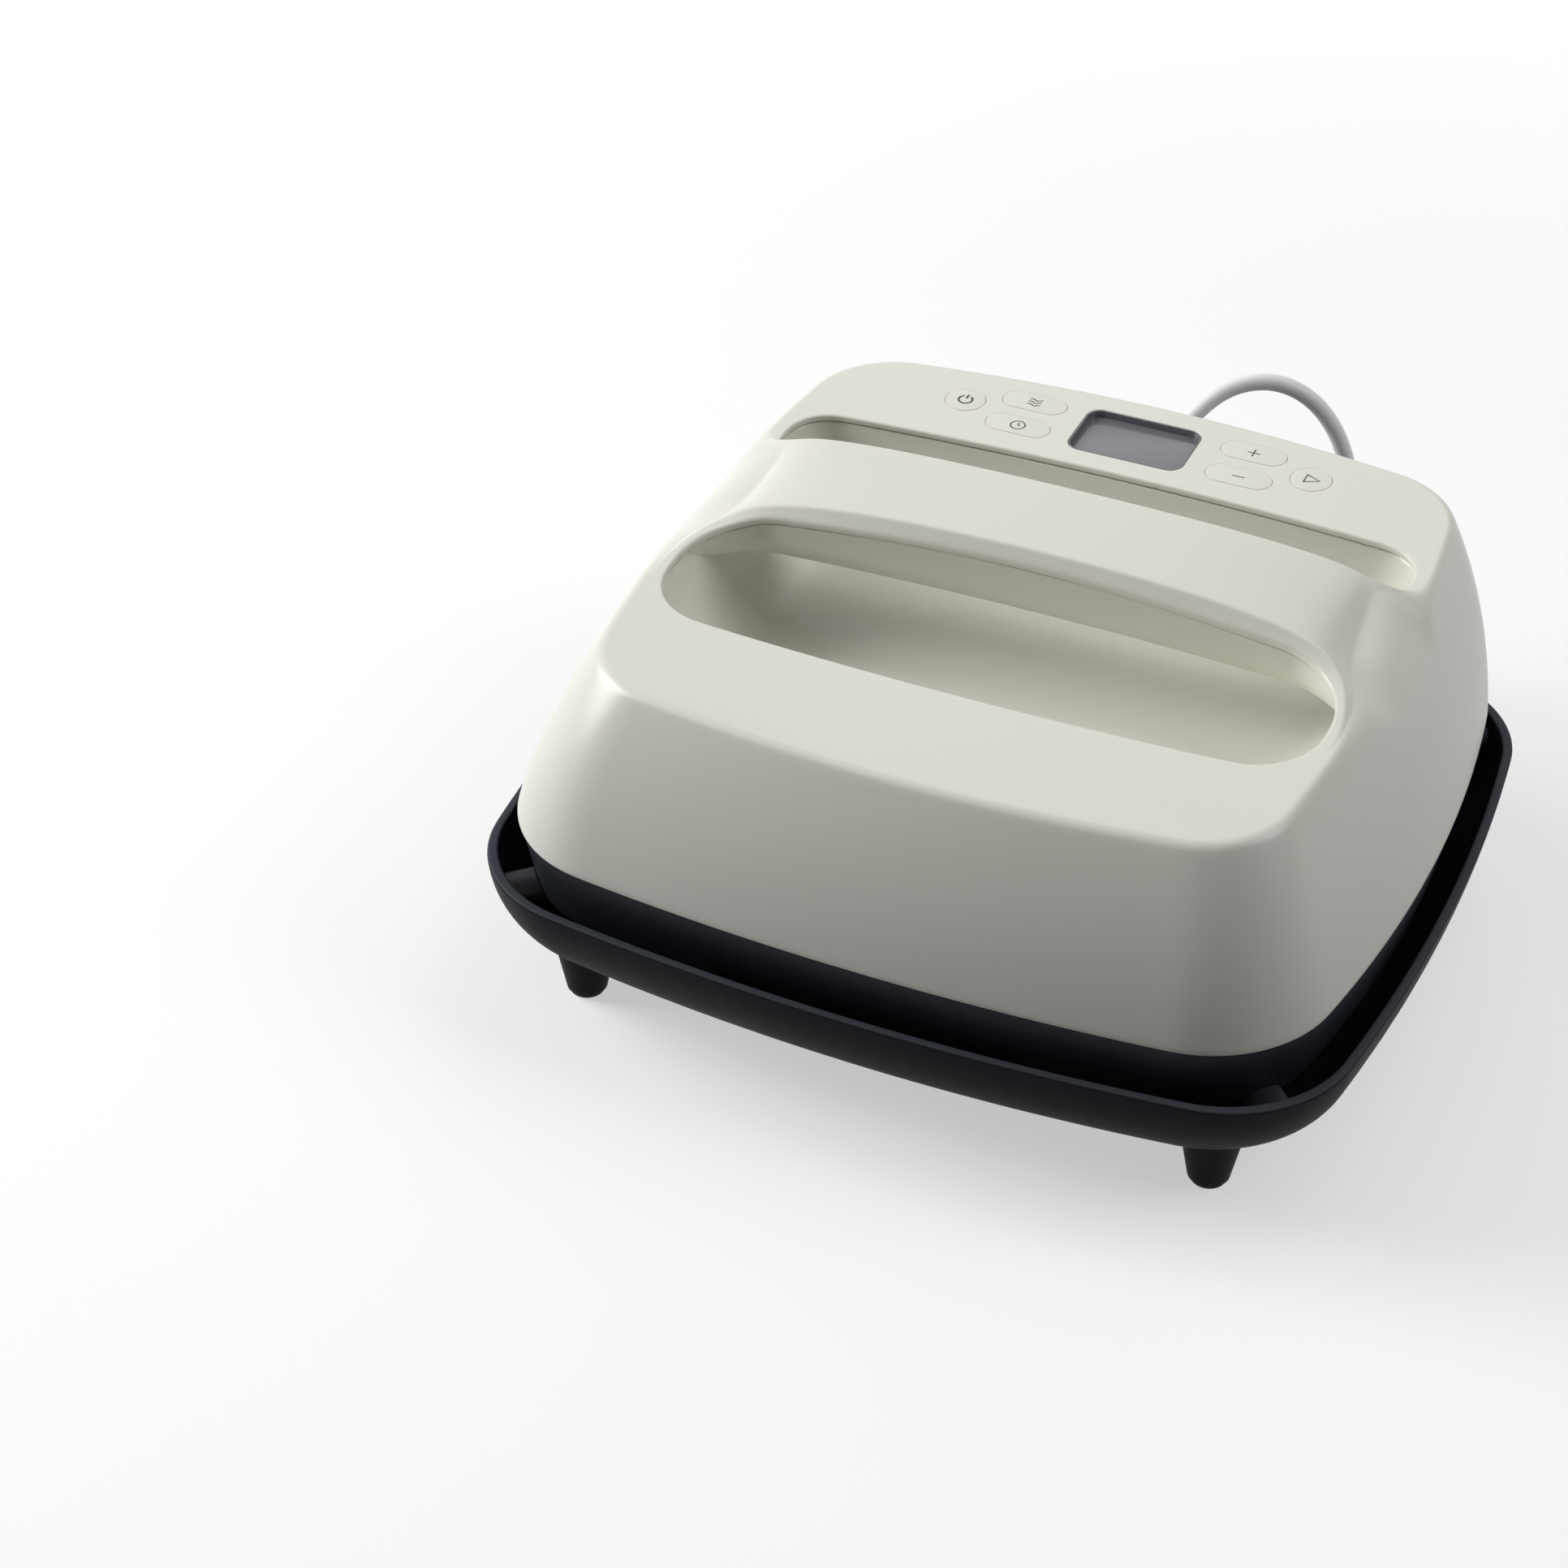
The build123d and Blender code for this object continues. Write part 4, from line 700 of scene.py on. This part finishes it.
def share_at(line, stops, marks):
    """Share of an edge's length at a grid line, spread evenly between the marks."""
    for k in range(len(marks) - 1):
        if line <= stops[k + 1]:
            return mix(marks[k], marks[k + 1], (line - stops[k]) / (stops[k + 1] - stops[k]))


def deck_edges(edge, hand, slot):
    """Plan points along the deck's edge and both openings, and each one's number and place on its outline."""
    plan, numbers = {}, {}
    for i in range(WIDE + 1):
        share = share_at(i, ACROSS, FRONT_MARKS)
        for j, side, place in ((0, 0, (0, share)), (DEEP, 1, (2, 1 - share))):
            plan[i, j] = edge.point(*place)
            numbers[i, j] = DECK_RING * RING + side * SIDE + i, place
    for j in range(1, DEEP):
        share = share_at(j, ALONG, SIDE_MARKS)
        for i, side, place in ((WIDE, 2, (1, share)), (0, 3, (3, 1 - share))):
            point = edge.point(*place)
            point.x -= math.copysign(notch_inset(point.y) - NOTCH[0][1], point.x)
            plan[i, j] = point
            numbers[i, j] = DECK_RING * RING + side * SIDE + j, place
    for ring, outline, block, front_shift, rear_shift in (
            (HAND_RING, hand, 1, 0.0, HAND_SHIFT), (SLOT_RING, slot, 3, SLOT_SHIFT, 0.0)):
        lengths = outline.lengths
        stops = (front_shift, lengths[0] - front_shift, sum(lengths[:2]) + rear_shift,
                 sum(lengths[:3]) - rear_shift, sum(lengths) + front_shift)
        left, right, front, rear = *ACROSS[1:3], *ALONG[block:block + 2]
        for side, count in enumerate((BLOCK_COLUMNS[1], BLOCK_ROWS[block]) * 2):
            for step in range(count):
                key = ((left + step, front), (right, front + step), (right - step, rear), (left, rear - step))[side]
                place = outline.place(mix(stops[side], stops[side + 1], step / count))
                plan[key] = outline.point(*place)
                numbers[key] = ring * RING + side * SIDE + step, place
    return plan, numbers


def straight(plan, first, last):
    """Adds evenly spaced plan points between two places on one grid line."""
    count = max(last[0] - first[0], last[1] - first[1])
    for k in range(1, count):
        key = tuple(a + (b - a) // count * k for a, b in zip(first, last))
        plan[key] = plan[first].lerp(plan[last], k / count)


def fill_deck(plan):
    """Adds lines between the edges to the plan, then fills each block from its four sides."""
    for i in ACROSS[1:3]:
        for block in (0, 4):
            straight(plan, (i, ALONG[block]), (i, ALONG[block + 1]))
    for i in range(ACROSS[1], ACROSS[2] + 1):
        front, rear = plan[i, ALONG[2]], plan[i, ALONG[3]]
        rows = strap_rows((front.x + rear.x) / 2, front.y, rear.y, BLOCK_ROWS[2])
        for step, y in enumerate(rows[1:-1], 1):
            plan[i, ALONG[2] + step] = front.lerp(rear, (y - front.y) / (rear.y - front.y))
    for j in ALONG[1:5]:
        for block in (0, 2):
            straight(plan, (ACROSS[block], j), (ACROSS[block + 1], j))
    for block_x, (left, right) in enumerate(zip(ACROSS, ACROSS[1:])):
        for block_y, (low, high) in enumerate(zip(ALONG, ALONG[1:])):
            if block_x == 1 and block_y in (1, 2, 3):
                continue
            for i in range(left + 1, right):
                u = (i - left) / (right - left)
                for j in range(low + 1, high):
                    v = (j - low) / (high - low)
                    plan[i, j] = (
                        plan[i, low] * (1 - v) + plan[i, high] * v + plan[left, j] * (1 - u) + plan[right, j] * u
                        - plan[left, low] * (1 - u) * (1 - v) - plan[right, low] * u * (1 - v)
                        - plan[left, high] * (1 - u) * v - plan[right, high] * u * v)


def deck_mesh(plan, numbers):
    """Grid over the plan with both openings left out. Points on an edge carry their number."""
    bm = bmesh.new()
    layer = bm.verts.layers.int.new("ring")
    bmesh.ops.create_grid(bm, x_segments=WIDE, y_segments=DEEP, size=0.5)
    holes = []
    for vert in bm.verts:
        key = round((vert.co.x + 0.5) * WIDE), round((vert.co.y + 0.5) * DEEP)
        if key in numbers:
            vert[layer] = numbers[key][0]
        if key in plan:
            vert.co = on_top(plan[key])
        else:
            holes.append(vert)
    bmesh.ops.delete(bm, geom=holes, context="VERTS")
    return bm, layer


def flank_rows(points, deck_round):
    """Rows of the rounded deck edge, wider beside the strap, and of the flanks down to the skirt."""
    rows = [{} for _ in EDGE_SHARES + FLANK_SHARES]
    for number, (place, start) in points.items():
        if number // RING != DECK_RING:
            continue
        corner = DECK_OUTLINE.point(*place)
        drop, bend = deck_round, 0.0
        if place[0] in (1, 3):
            drop = mix(deck_round, notch_inset(corner.y), NOTCH_DROP)
            fade = max(0.0, min(1.0, 1.0 - corner.y / NOTCH_BEND_END))
            bend = NOTCH_BEND * fade * (notch_inset(corner.y) - NOTCH[0][1])
        shoulder = 1.0 - drop / (DECK_ORIGIN - HOUSING_BOTTOM)
        flank = []
        for share in FLANK_SHARES:
            point = flank_section(share * shoulder).point(*place)
            flank.append(over(point, flank_height(share * shoulder, point.y)))
        lip = over(corner, deck_height(corner.y) - bend)
        round_off = [bezier(start, lip, flank[0], share) for share in EDGE_SHARES]
        for row, spot in zip(rows, round_off + flank):
            row[number] = spot
    return rows


def opening_rows(points, ring, shape, reach):
    """Rows of the rolled edge of an opening and of the wall below it."""
    outline = Outline(shape)
    rows = [{} for _ in range(len(ROLL_SHARES) + 2)]
    for number, (place, start) in points.items():
        if number // RING == ring:
            point = outline.point(*place)
            rim, under, foot = (over(point, top_height(*point) - drop) for drop in (0.0, reach, WALL))
            roll = [bezier(start, rim, under, share) for share in ROLL_SHARES]
            for row, spot in zip(rows, [*roll, under, foot]):
                row[number] = spot
    return rows


class HEATPRESS_OT_shell(bpy.types.Operator):
    """Upper shell: decks, rolled strap, flanks and the rounded edges of both openings"""
    bl_idname = "heatpress.shell"
    bl_label = "Upper shell"

    def execute(self, context):
        deck_round, hand_round, slot_round = (value / MM for value in (
            sizes().deck_round, sizes().hand_round, sizes().slot_round))
        plan, numbers = deck_edges(Outline(DECK, -deck_round), Outline(HAND, hand_round), Outline(SLOT, slot_round))
        fill_deck(plan)
        bm, layer = deck_mesh(plan, numbers)
        points = {number: (place, on_top(plan[key])) for key, (number, place) in numbers.items()}
        add_rings(bm, layer, ring_edges(bm, layer, DECK_RING), flank_rows(points, deck_round))
        for ring, shape, reach in ((HAND_RING, HAND, hand_round), (SLOT_RING, SLOT, slot_round)):
            add_rings(bm, layer, ring_edges(bm, layer, ring), opening_rows(points, ring, shape, reach))
        face_up(bm)
        shell = piece_from(bm, "upper_shell", "press", "cream_shell", scale=MM)
        thicken(shell, sizes().shell_wall)
        cut_controls(shell)
        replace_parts(shell, "upper_housing")
        return {"FINISHED"}


# Controls

def deck_matrix(place=(0, 0), lift=0.0):
    """Placement on the rear deck, in metres: local x along +X, local z off the deck."""
    turn = Matrix.Rotation(DECK_TILT, 4, "X")
    shift = Matrix.Translation([value * MM for value in (*place, lift)])
    return Matrix.Translation((0, 0, DECK_ORIGIN * MM)) @ turn @ shift


def control_loop(bm, width, height, corner, lift):
    """Closed loop of a rounded rectangle or a pill around the origin."""
    verts = []
    for k, (side_x, side_y) in enumerate(((1, 1), (-1, 1), (-1, -1), (1, -1))):
        for step in range(CORNER_STEPS + 1):
            angle = math.pi / 2 * (k + step / CORNER_STEPS)
            x = side_x * (width / 2 - corner) + corner * math.cos(angle)
            y = side_y * (height / 2 - corner) + corner * math.sin(angle)
            verts.append(bm.verts.new((x, y, lift)))
    return verts


def control_stack(bm, place, size, rows, closed=True):
    """Adds rounded loops on the rear deck, each with its growth and its height, closed by caps or into a ring."""
    width, height, corner = size
    loops, verts = [], []
    for grow, lift in rows:
        loop = control_loop(bm, width + 2 * grow, height + 2 * grow, corner + grow - CORNER_TRIM, lift)
        loops.append(loop_edges(bm, loop))
        bmesh.ops.transform(bm, matrix=Matrix.Translation((*place, 0)), verts=loop)
        verts += loop
    for low, high in zip(loops, loops[1:]):
        bmesh.ops.bridge_loops(bm, edges=low + high)
    if closed:
        close(bm, loops[0], loops[-1])
    else:
        bmesh.ops.bridge_loops(bm, edges=loops[-1] + loops[0])
    face_out(bm)
    bmesh.ops.scale(bm, vec=(MM,) * 3, verts=verts)
    bmesh.ops.transform(bm, matrix=deck_matrix(), verts=verts)
    return bm


def button_size(name, grow):
    """Width, height and corner radius of a button's cap or hole."""
    width, height = (ROUND_DIA, ROUND_DIA) if name in ROUND_BUTTONS else (PILL_LENGTH, PILL_WIDTH)
    return width + grow, height + grow, (height + grow) / 2


def cut_controls(shell):
    """Cuts the holes of the display and the buttons, each with a fine chamfer."""
    holes = [(DISPLAY_PLACE, DISPLAY_SIZE, DISPLAY_CHAMFER)]
    holes += [(place, button_size(name, BUTTON_GAP), BUTTON_CHAMFER) for name, place in BUTTONS.items()]
    bm = bmesh.new()
    for place, size, chamfer in holes:
        rows = ((0.0, CUT_BOTTOM), (0.0, -chamfer), (2 * chamfer, chamfer), (2 * chamfer, CUT_TOP))
        control_stack(bm, place, size, rows)
    mesh = mesh_from(bm, "control_cutter")
    cutter = link("control_cutter", mesh)
    cut = shell.modifiers.new("Controls", "BOOLEAN")
    cut.operation, cut.solver, cut.object = "DIFFERENCE", "EXACT", cutter
    apply_modifiers(shell)
    bpy.data.objects.remove(cutter)
    bpy.data.meshes.remove(mesh)


def arc(radius, first, last, steps):
    """Points on a circle between bearings in degrees from the top."""
    angles = [math.radians(mix(first, last, k / steps)) for k in range(steps + 1)]
    return [(radius * math.sin(angle), radius * math.cos(angle)) for angle in angles]


def wave(rise, reach=2.75, height=0.5, turns=1.25, steps=22):
    """Points of a wavy line at a rise over the middle."""
    shares = [k / steps for k in range(steps + 1)]
    return [(mix(-reach, reach, share), rise + height * math.sin(math.tau * turns * share)) for share in shares]


# Lines of each icon round its button's middle: points, and whether the line is closed
ICONS = {
    "power_button": [(arc(2.8, 32, 328, 37), False), (((0, 0.9), (0, 3.6)), False)],
    "start_button": [(((-2.2, -2.7), (3.5, 0), (-2.2, 2.7)), True)],
    "heat_button": [(wave(rise), False) for rise in (-1.9, 0.0, 1.9)],
    "timer_button": [(arc(2.9, 90, -262.5, 47), True), (((0, 1.6), (0, 0), (1.1, -0.4)), False)],
    "plus_button": [(((-2.5, 0), (2.5, 0)), False), (((0, -2.5), (0, 2.5)), False)],
    "minus_button": [(((-2.5, 0), (2.5, 0)), False)],
}


def draw_icon(name):
    """Printed icon that rides on its button."""
    weight = sizes().icon_line * ICON_WEIGHT.get(name, 1.0)
    line = new_curve(name + "_icon_line", "POLY", ICONS[name], weight, ICON_ROUNDNESS)
    piece = curve_piece(line, name + "_icon", "icon")
    piece.data.transform(deck_matrix(BUTTONS[name], BUTTON_PROUD) @ Matrix.Diagonal((1, 1, ICON_FLAT, 1)))
    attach(piece, name + "_body")


def draw_display():
    """Window with glossy walls, sunk into the deck, and the display behind it."""
    depth = sizes().display_depth / MM
    foot, end, glass_rows = (
        [(grow, lift - depth) for grow, lift in rows] for rows in (WALL_FOOT, WALL_END, GLASS_ROWS))
    wall = control_stack(bmesh.new(), DISPLAY_PLACE, DISPLAY_SIZE, [*foot, *WALL_CREST, *end], closed=False)
    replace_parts(piece_from(wall, "display_wall", "press", "display_dark", "bezel"), "display_lens")
    glass = control_stack(bmesh.new(), DISPLAY_PLACE, DISPLAY_SIZE, glass_rows)
    piece_from(glass, "display_glass", "press", "display_dark")


class HEATPRESS_OT_controls(bpy.types.Operator):
    """Display and buttons with their printed icons"""
    bl_idname = "heatpress.controls"
    bl_label = "Controls"

    def execute(self, context):
        draw_display()
        for name, place in BUTTONS.items():
            cap = control_stack(bmesh.new(), place, button_size(name, -BUTTON_GAP), CAP_ROWS)
            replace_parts(piece_from(cap, name + "_cap", name + "_body", "cream_shell"), name)
            draw_icon(name)
        return {"FINISHED"}


# Recess, stand, skirt, cord and insides

def bowl_row(depth, taper, grow):
    """Row of the bowl at shares of its depth and taper, kept inside the shell beside the strap."""
    outline = Outline(between(BOWL_TOP, BOWL_BOTTOM, taper), grow)
    row = outline_row(outline, BOWL_STEPS, lambda point: mix(
        deck_height(point.y) - WALL - BOWL_SEAM, BOWL_FLOOR, depth))
    for place in row.values():
        room = strap_reach(place.y) + BOWL_ROOM
        place.x = max(-room, min(room, place.x))
    return row


def under_strap(place, reach):
    """Place of a point of the strap's lower shell: ends drawn in, front lip raised to the seam."""
    x, y, z = place
    room = strap_reach(y) - GRIP_ROOM
    if abs(x) > GRIP_STRAIGHT and room < reach:
        share = (abs(x) - GRIP_STRAIGHT) / (reach - GRIP_STRAIGHT)
        x = math.copysign(mix(GRIP_STRAIGHT, room, share), x)
    z += GRIP_LIFT * hermite(y, GRIP_LIP) * hermite(z, GRIP_UPPER)
    return Vector((x, y, min(z, top_height(x, y) - WALL - GRIP_SEAM)))


class HEATPRESS_OT_recess(bpy.types.Operator):
    """Recess under the strap: a smooth bowl with a soft floor, and the strap's lower shell"""
    bl_idname = "heatpress.recess"
    bl_label = "Recess and grip"

    def execute(self, context):
        rows = [bowl_row(0.0, 0.0, BOWL_FLANGE), bowl_row(0.0, 0.0, BOWL_LIP),
                bowl_row(BOWL_LIP_DEPTH, 0.0, -BOWL_LIP)]
        rows += [bowl_row(depth, taper, -BOWL_LIP) for depth, taper in BOWL_PROFILE]
        centre = Vector((0, (BOWL_BOTTOM.front + BOWL_BOTTOM.rear) / 2, BOWL_FLOOR))
        rows += [{number: centre.lerp(place, share) for number, place in rows[-1].items()}
                 for share in BOWL_FLOOR_SHARES]
        bm, _, last = ring_stack(rows)
        close(bm, last)
        face_up(bm)
        bowl = piece_from(bm, "recess_bowl", "press", "cream_shell", scale=MM)
        thicken(bowl, BOWL_WALL * MM)
        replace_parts(bowl, "recess_liner")
        grip = smooth_copy("handle_lower_shell", "cream_shell")
        reach = max(abs(vert.co.x) for vert in grip.data.vertices) / MM
        for vert in grip.data.vertices:
            vert.co = under_strap(vert.co / MM, reach) * MM
        return {"FINISHED"}


class HEATPRESS_OT_stand(bpy.types.Operator):
    """Stand: tray, feet, pads and corner supports"""
    bl_idname = "heatpress.stand"
    bl_label = "Stand"

    def execute(self, context):
        smooth_copy("base_tray", "dark_tray")
        for corner in ("front_left", "front_right", "rear_left", "rear_right"):
            smooth_copy(f"tray_foot_{corner}", "dark_tray")
            smooth_copy(f"foot_pad_{corner}", "pad_rubber")
            smooth_copy(f"corner_support_{corner}", "support_plastic")
        return {"FINISHED"}


class HEATPRESS_OT_skirt(bpy.types.Operator):
    """Dark skirt and the heat plate below it"""
    bl_idname = "heatpress.skirt"
    bl_label = "Skirt and plate"

    def execute(self, context):
        rows = []
        for drop, inset in SKIRT_ROWS:
            outline = Outline(BASE, -(SKIRT_INSET + drop / SKIRT_HEIGHT * SKIRT_TAPER + inset))
            rows.append(outline_row(outline, SKIRT_STEPS, lambda point: HOUSING_BOTTOM - drop))
        bm, first, last = ring_stack(rows)
        close(bm, first, last)
        face_out(bm)
        skirt = piece_from(bm, "skirt", "press", "dark_skirt", scale=MM)
        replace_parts(skirt, "lower_housing")
        smooth_copy("heat_plate", "plate_metal")
        return {"FINISHED"}


def cord_route():
    """Control points of the cord: the free stretch, half turns in to the middle and out again, and the tail."""
    points = [Vector(point) for point in CORD_ROUTE]
    start = points[-1]
    turns = 2 * COIL_HALF_TURNS
    radii = [COIL_OUTER - COIL_PITCH / 2 * min(k, turns - k) for k in range(turns + 1)]
    ends = [Vector((start.x - CORD_DIA, start.y + COIL_OUTER + (-1 if k % 2 == 0 else 1) * radius,
                    start.z + (COIL_LIFT if k >= COIL_HALF_TURNS else 0))) for k, radius in enumerate(radii)]
    # The drawn curve runs inside its control points, so these lie further out
    swell = 1 / (0.75 + 0.25 * math.cos(math.pi / COIL_STEPS))
    for k, (before, after) in enumerate(zip(ends, ends[1:])):
        side = -1 if k % 2 == 0 else 1
        centre, reach = (before + after) / 2, side * swell * abs(after.y - before.y) / 2
        for step in range(COIL_STEPS):
            angle = math.pi * step / COIL_STEPS
            climb = mix(before.z, after.z, step / COIL_STEPS)
            points.append(Vector((centre.x + reach * math.sin(angle), centre.y + reach * math.cos(angle), climb)))
    points.append(ends[-1] - Vector((0, (swell - 1) * radii[-1], 0)))
    return points + [ends[-1] - Vector((share * COIL_TAIL, 0, 0)) for share in (0.5, 1.0)]


class HEATPRESS_OT_cord(bpy.types.Operator):
    """Cord with its boot, coil, tie and plug"""
    bl_idname = "heatpress.cord"
    bl_label = "Cord"

    def execute(self, context):
        points = cord_route()
        curve = new_curve("cord_line", "NURBS", [(points, False)], 0.0, CORD_ROUNDNESS)
        curve.resolution_u = CORD_FINENESS
        curve.splines[0].order_u = 3
        curve.splines[0].use_endpoint_u = True
        path_mesh = curve_mesh(curve)
        bpy.data.meshes.remove(path_mesh)
        curve.bevel_depth = CORD_DIA / 2 * MM
        cord = curve_piece(curve, "power_cord_shown", "cord_white")
        cord.data.shade_smooth()
        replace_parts(cord, "power_cord", "cord_coil")
        plug = smooth_copy("plug_body", "cord_white")
        pins = smooth_copy("plug_pins", "pin_brass")
        tie = smooth_copy("cord_tie", "tie_black")
        boot = smooth_copy("cord_strain_relief", "cord_white")
        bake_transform(cord)
        return {"FINISHED"}


class HEATPRESS_OT_insides(bpy.types.Operator):
    """Finishes of the pieces inside the housing, which keep their CAD shapes"""
    bl_idname = "heatpress.insides"
    bl_label = "Inner pieces"

    def execute(self, context):
        slots = {row["node"]: row["material_slot"] for row in frame["record"]["subparts"]}
        for name, node in frame["nodes"].items():
            if not node.hide_render:
                node.data.materials.clear()
                node.data.materials.append(finish(slots[name]))
        return {"FINISHED"}


# Stage

def seen_rays(tree):
    """Socket that is one for what the camera sees, straight, mirrored or through glass."""
    rays = add_node(tree, "LightPath").outputs
    seen = rays["Is Camera Ray"]
    for kind in ("Is Glossy Ray", "Is Transmission Ray"):
        seen = add_node(tree, "Math", {0: seen, 1: rays[kind]}, operation="MAXIMUM").outputs[0]
    return seen


def lay_floor():
    """Floor that keeps its shadow, is seen white far off, and throws little light on the object."""
    bm = bmesh.new()
    bmesh.ops.create_grid(bm, x_segments=1, y_segments=1, size=FLOOR_SIZE)
    floor = link("floor", mesh_from(bm, "floor"))
    floor.data.materials.append(finish("floor"))
    tree = finish("floor").node_tree
    seen = seen_rays(tree)
    repaint(tree, seen, first=colours().floor_bounce)
    away = add_node(tree, "VectorMath", {0: add_node(tree, "TexCoord").outputs["Object"]}, operation="LENGTH")
    share = add_node(tree, "MapRange", {
        "Value": away.outputs["Value"], "From Min": FLOOR_FADE[0], "From Max": FLOOR_FADE[1],
        "To Min": FLOOR_GLOW}, interpolation_type="SMOOTHSTEP")
    glow = add_node(tree, "Math", {0: seen, 1: share.outputs[0]}, operation="MULTIPLY")
    shader = tree.nodes["Principled BSDF"]
    set_inputs(tree, shader, {"Emission Color": WHITE, "Emission Strength": glow.outputs[0]})


class HEATPRESS_OT_stage(bpy.types.Operator):
    """Floor, soft lights and the camera"""
    bl_idname = "heatpress.stage"
    bl_label = "Stage"

    def execute(self, context):
        scene = context.scene
        scene.view_settings.view_transform = "Standard"
        lens = bpy.data.cameras.new("camera")
        lens.lens, lens.sensor_width, lens.clip_end = sizes().lens, CAMERA_SENSOR, CAMERA_END
        scene.camera = link("camera", lens)
        scene.camera.location, scene.camera.rotation_euler = CAMERA_PLACE, CAMERA_TURN
        lay_floor()
        scene.world = bpy.data.worlds.new("studio")
        scene.world.use_nodes = True
        tree = scene.world.node_tree
        strength = add_node(tree, "MapRange", {"Value": seen_rays(tree), "To Min": SKY_LIGHT})
        set_inputs(tree, tree.nodes["Background"], {"Color": WHITE, "Strength": strength.outputs[0]})
        for name, place, size, power in LIGHTS:
            lamp = bpy.data.lights.new(name, "AREA")
            lamp.shape, lamp.energy = "RECTANGLE", power
            lamp.size, lamp.size_y = size
            light = link(name, lamp)
            light.location = place
            light.rotation_euler = (Vector(LIGHT_AIM) - Vector(place)).to_track_quat("-Z", "Y").to_euler()
        return {"FINISHED"}


OPERATORS = (HEATPRESS_OT_stage, HEATPRESS_OT_cord, HEATPRESS_OT_shell, HEATPRESS_OT_recess, HEATPRESS_OT_stand,
             HEATPRESS_OT_skirt, HEATPRESS_OT_controls, HEATPRESS_OT_insides)


class HEATPRESS_PT_panel(bpy.types.Panel):
    """Lists the pieces, sizes and colours"""
    bl_idname = "HEATPRESS_PT_panel"
    bl_label = "Heat press"
    bl_space_type = "VIEW_3D"
    bl_region_type = "UI"
    bl_category = "Heat press"

    def draw(self, context):
        for group in (context.scene.press_sizes, context.scene.press_colours):
            for name in group.__annotations__:
                self.layout.prop(group, name)
        for operator in OPERATORS:
            self.layout.operator(operator.bl_idname)


CLASSES = (PressSizes, PressColours, *OPERATORS, HEATPRESS_PT_panel)


def register():
    for cls in CLASSES:
        bpy.utils.register_class(cls)
    bpy.types.Scene.press_sizes = PointerProperty(type=PressSizes)
    bpy.types.Scene.press_colours = PointerProperty(type=PressColours)


def unregister():
    del bpy.types.Scene.press_colours
    del bpy.types.Scene.press_sizes
    for cls in reversed(CLASSES):
        bpy.utils.unregister_class(cls)


def main():
    register()
    for operator in OPERATORS:
        group, name = operator.bl_idname.split(".")
        getattr(getattr(bpy.ops, group), name)()


if __name__ == "__main__":
    main()
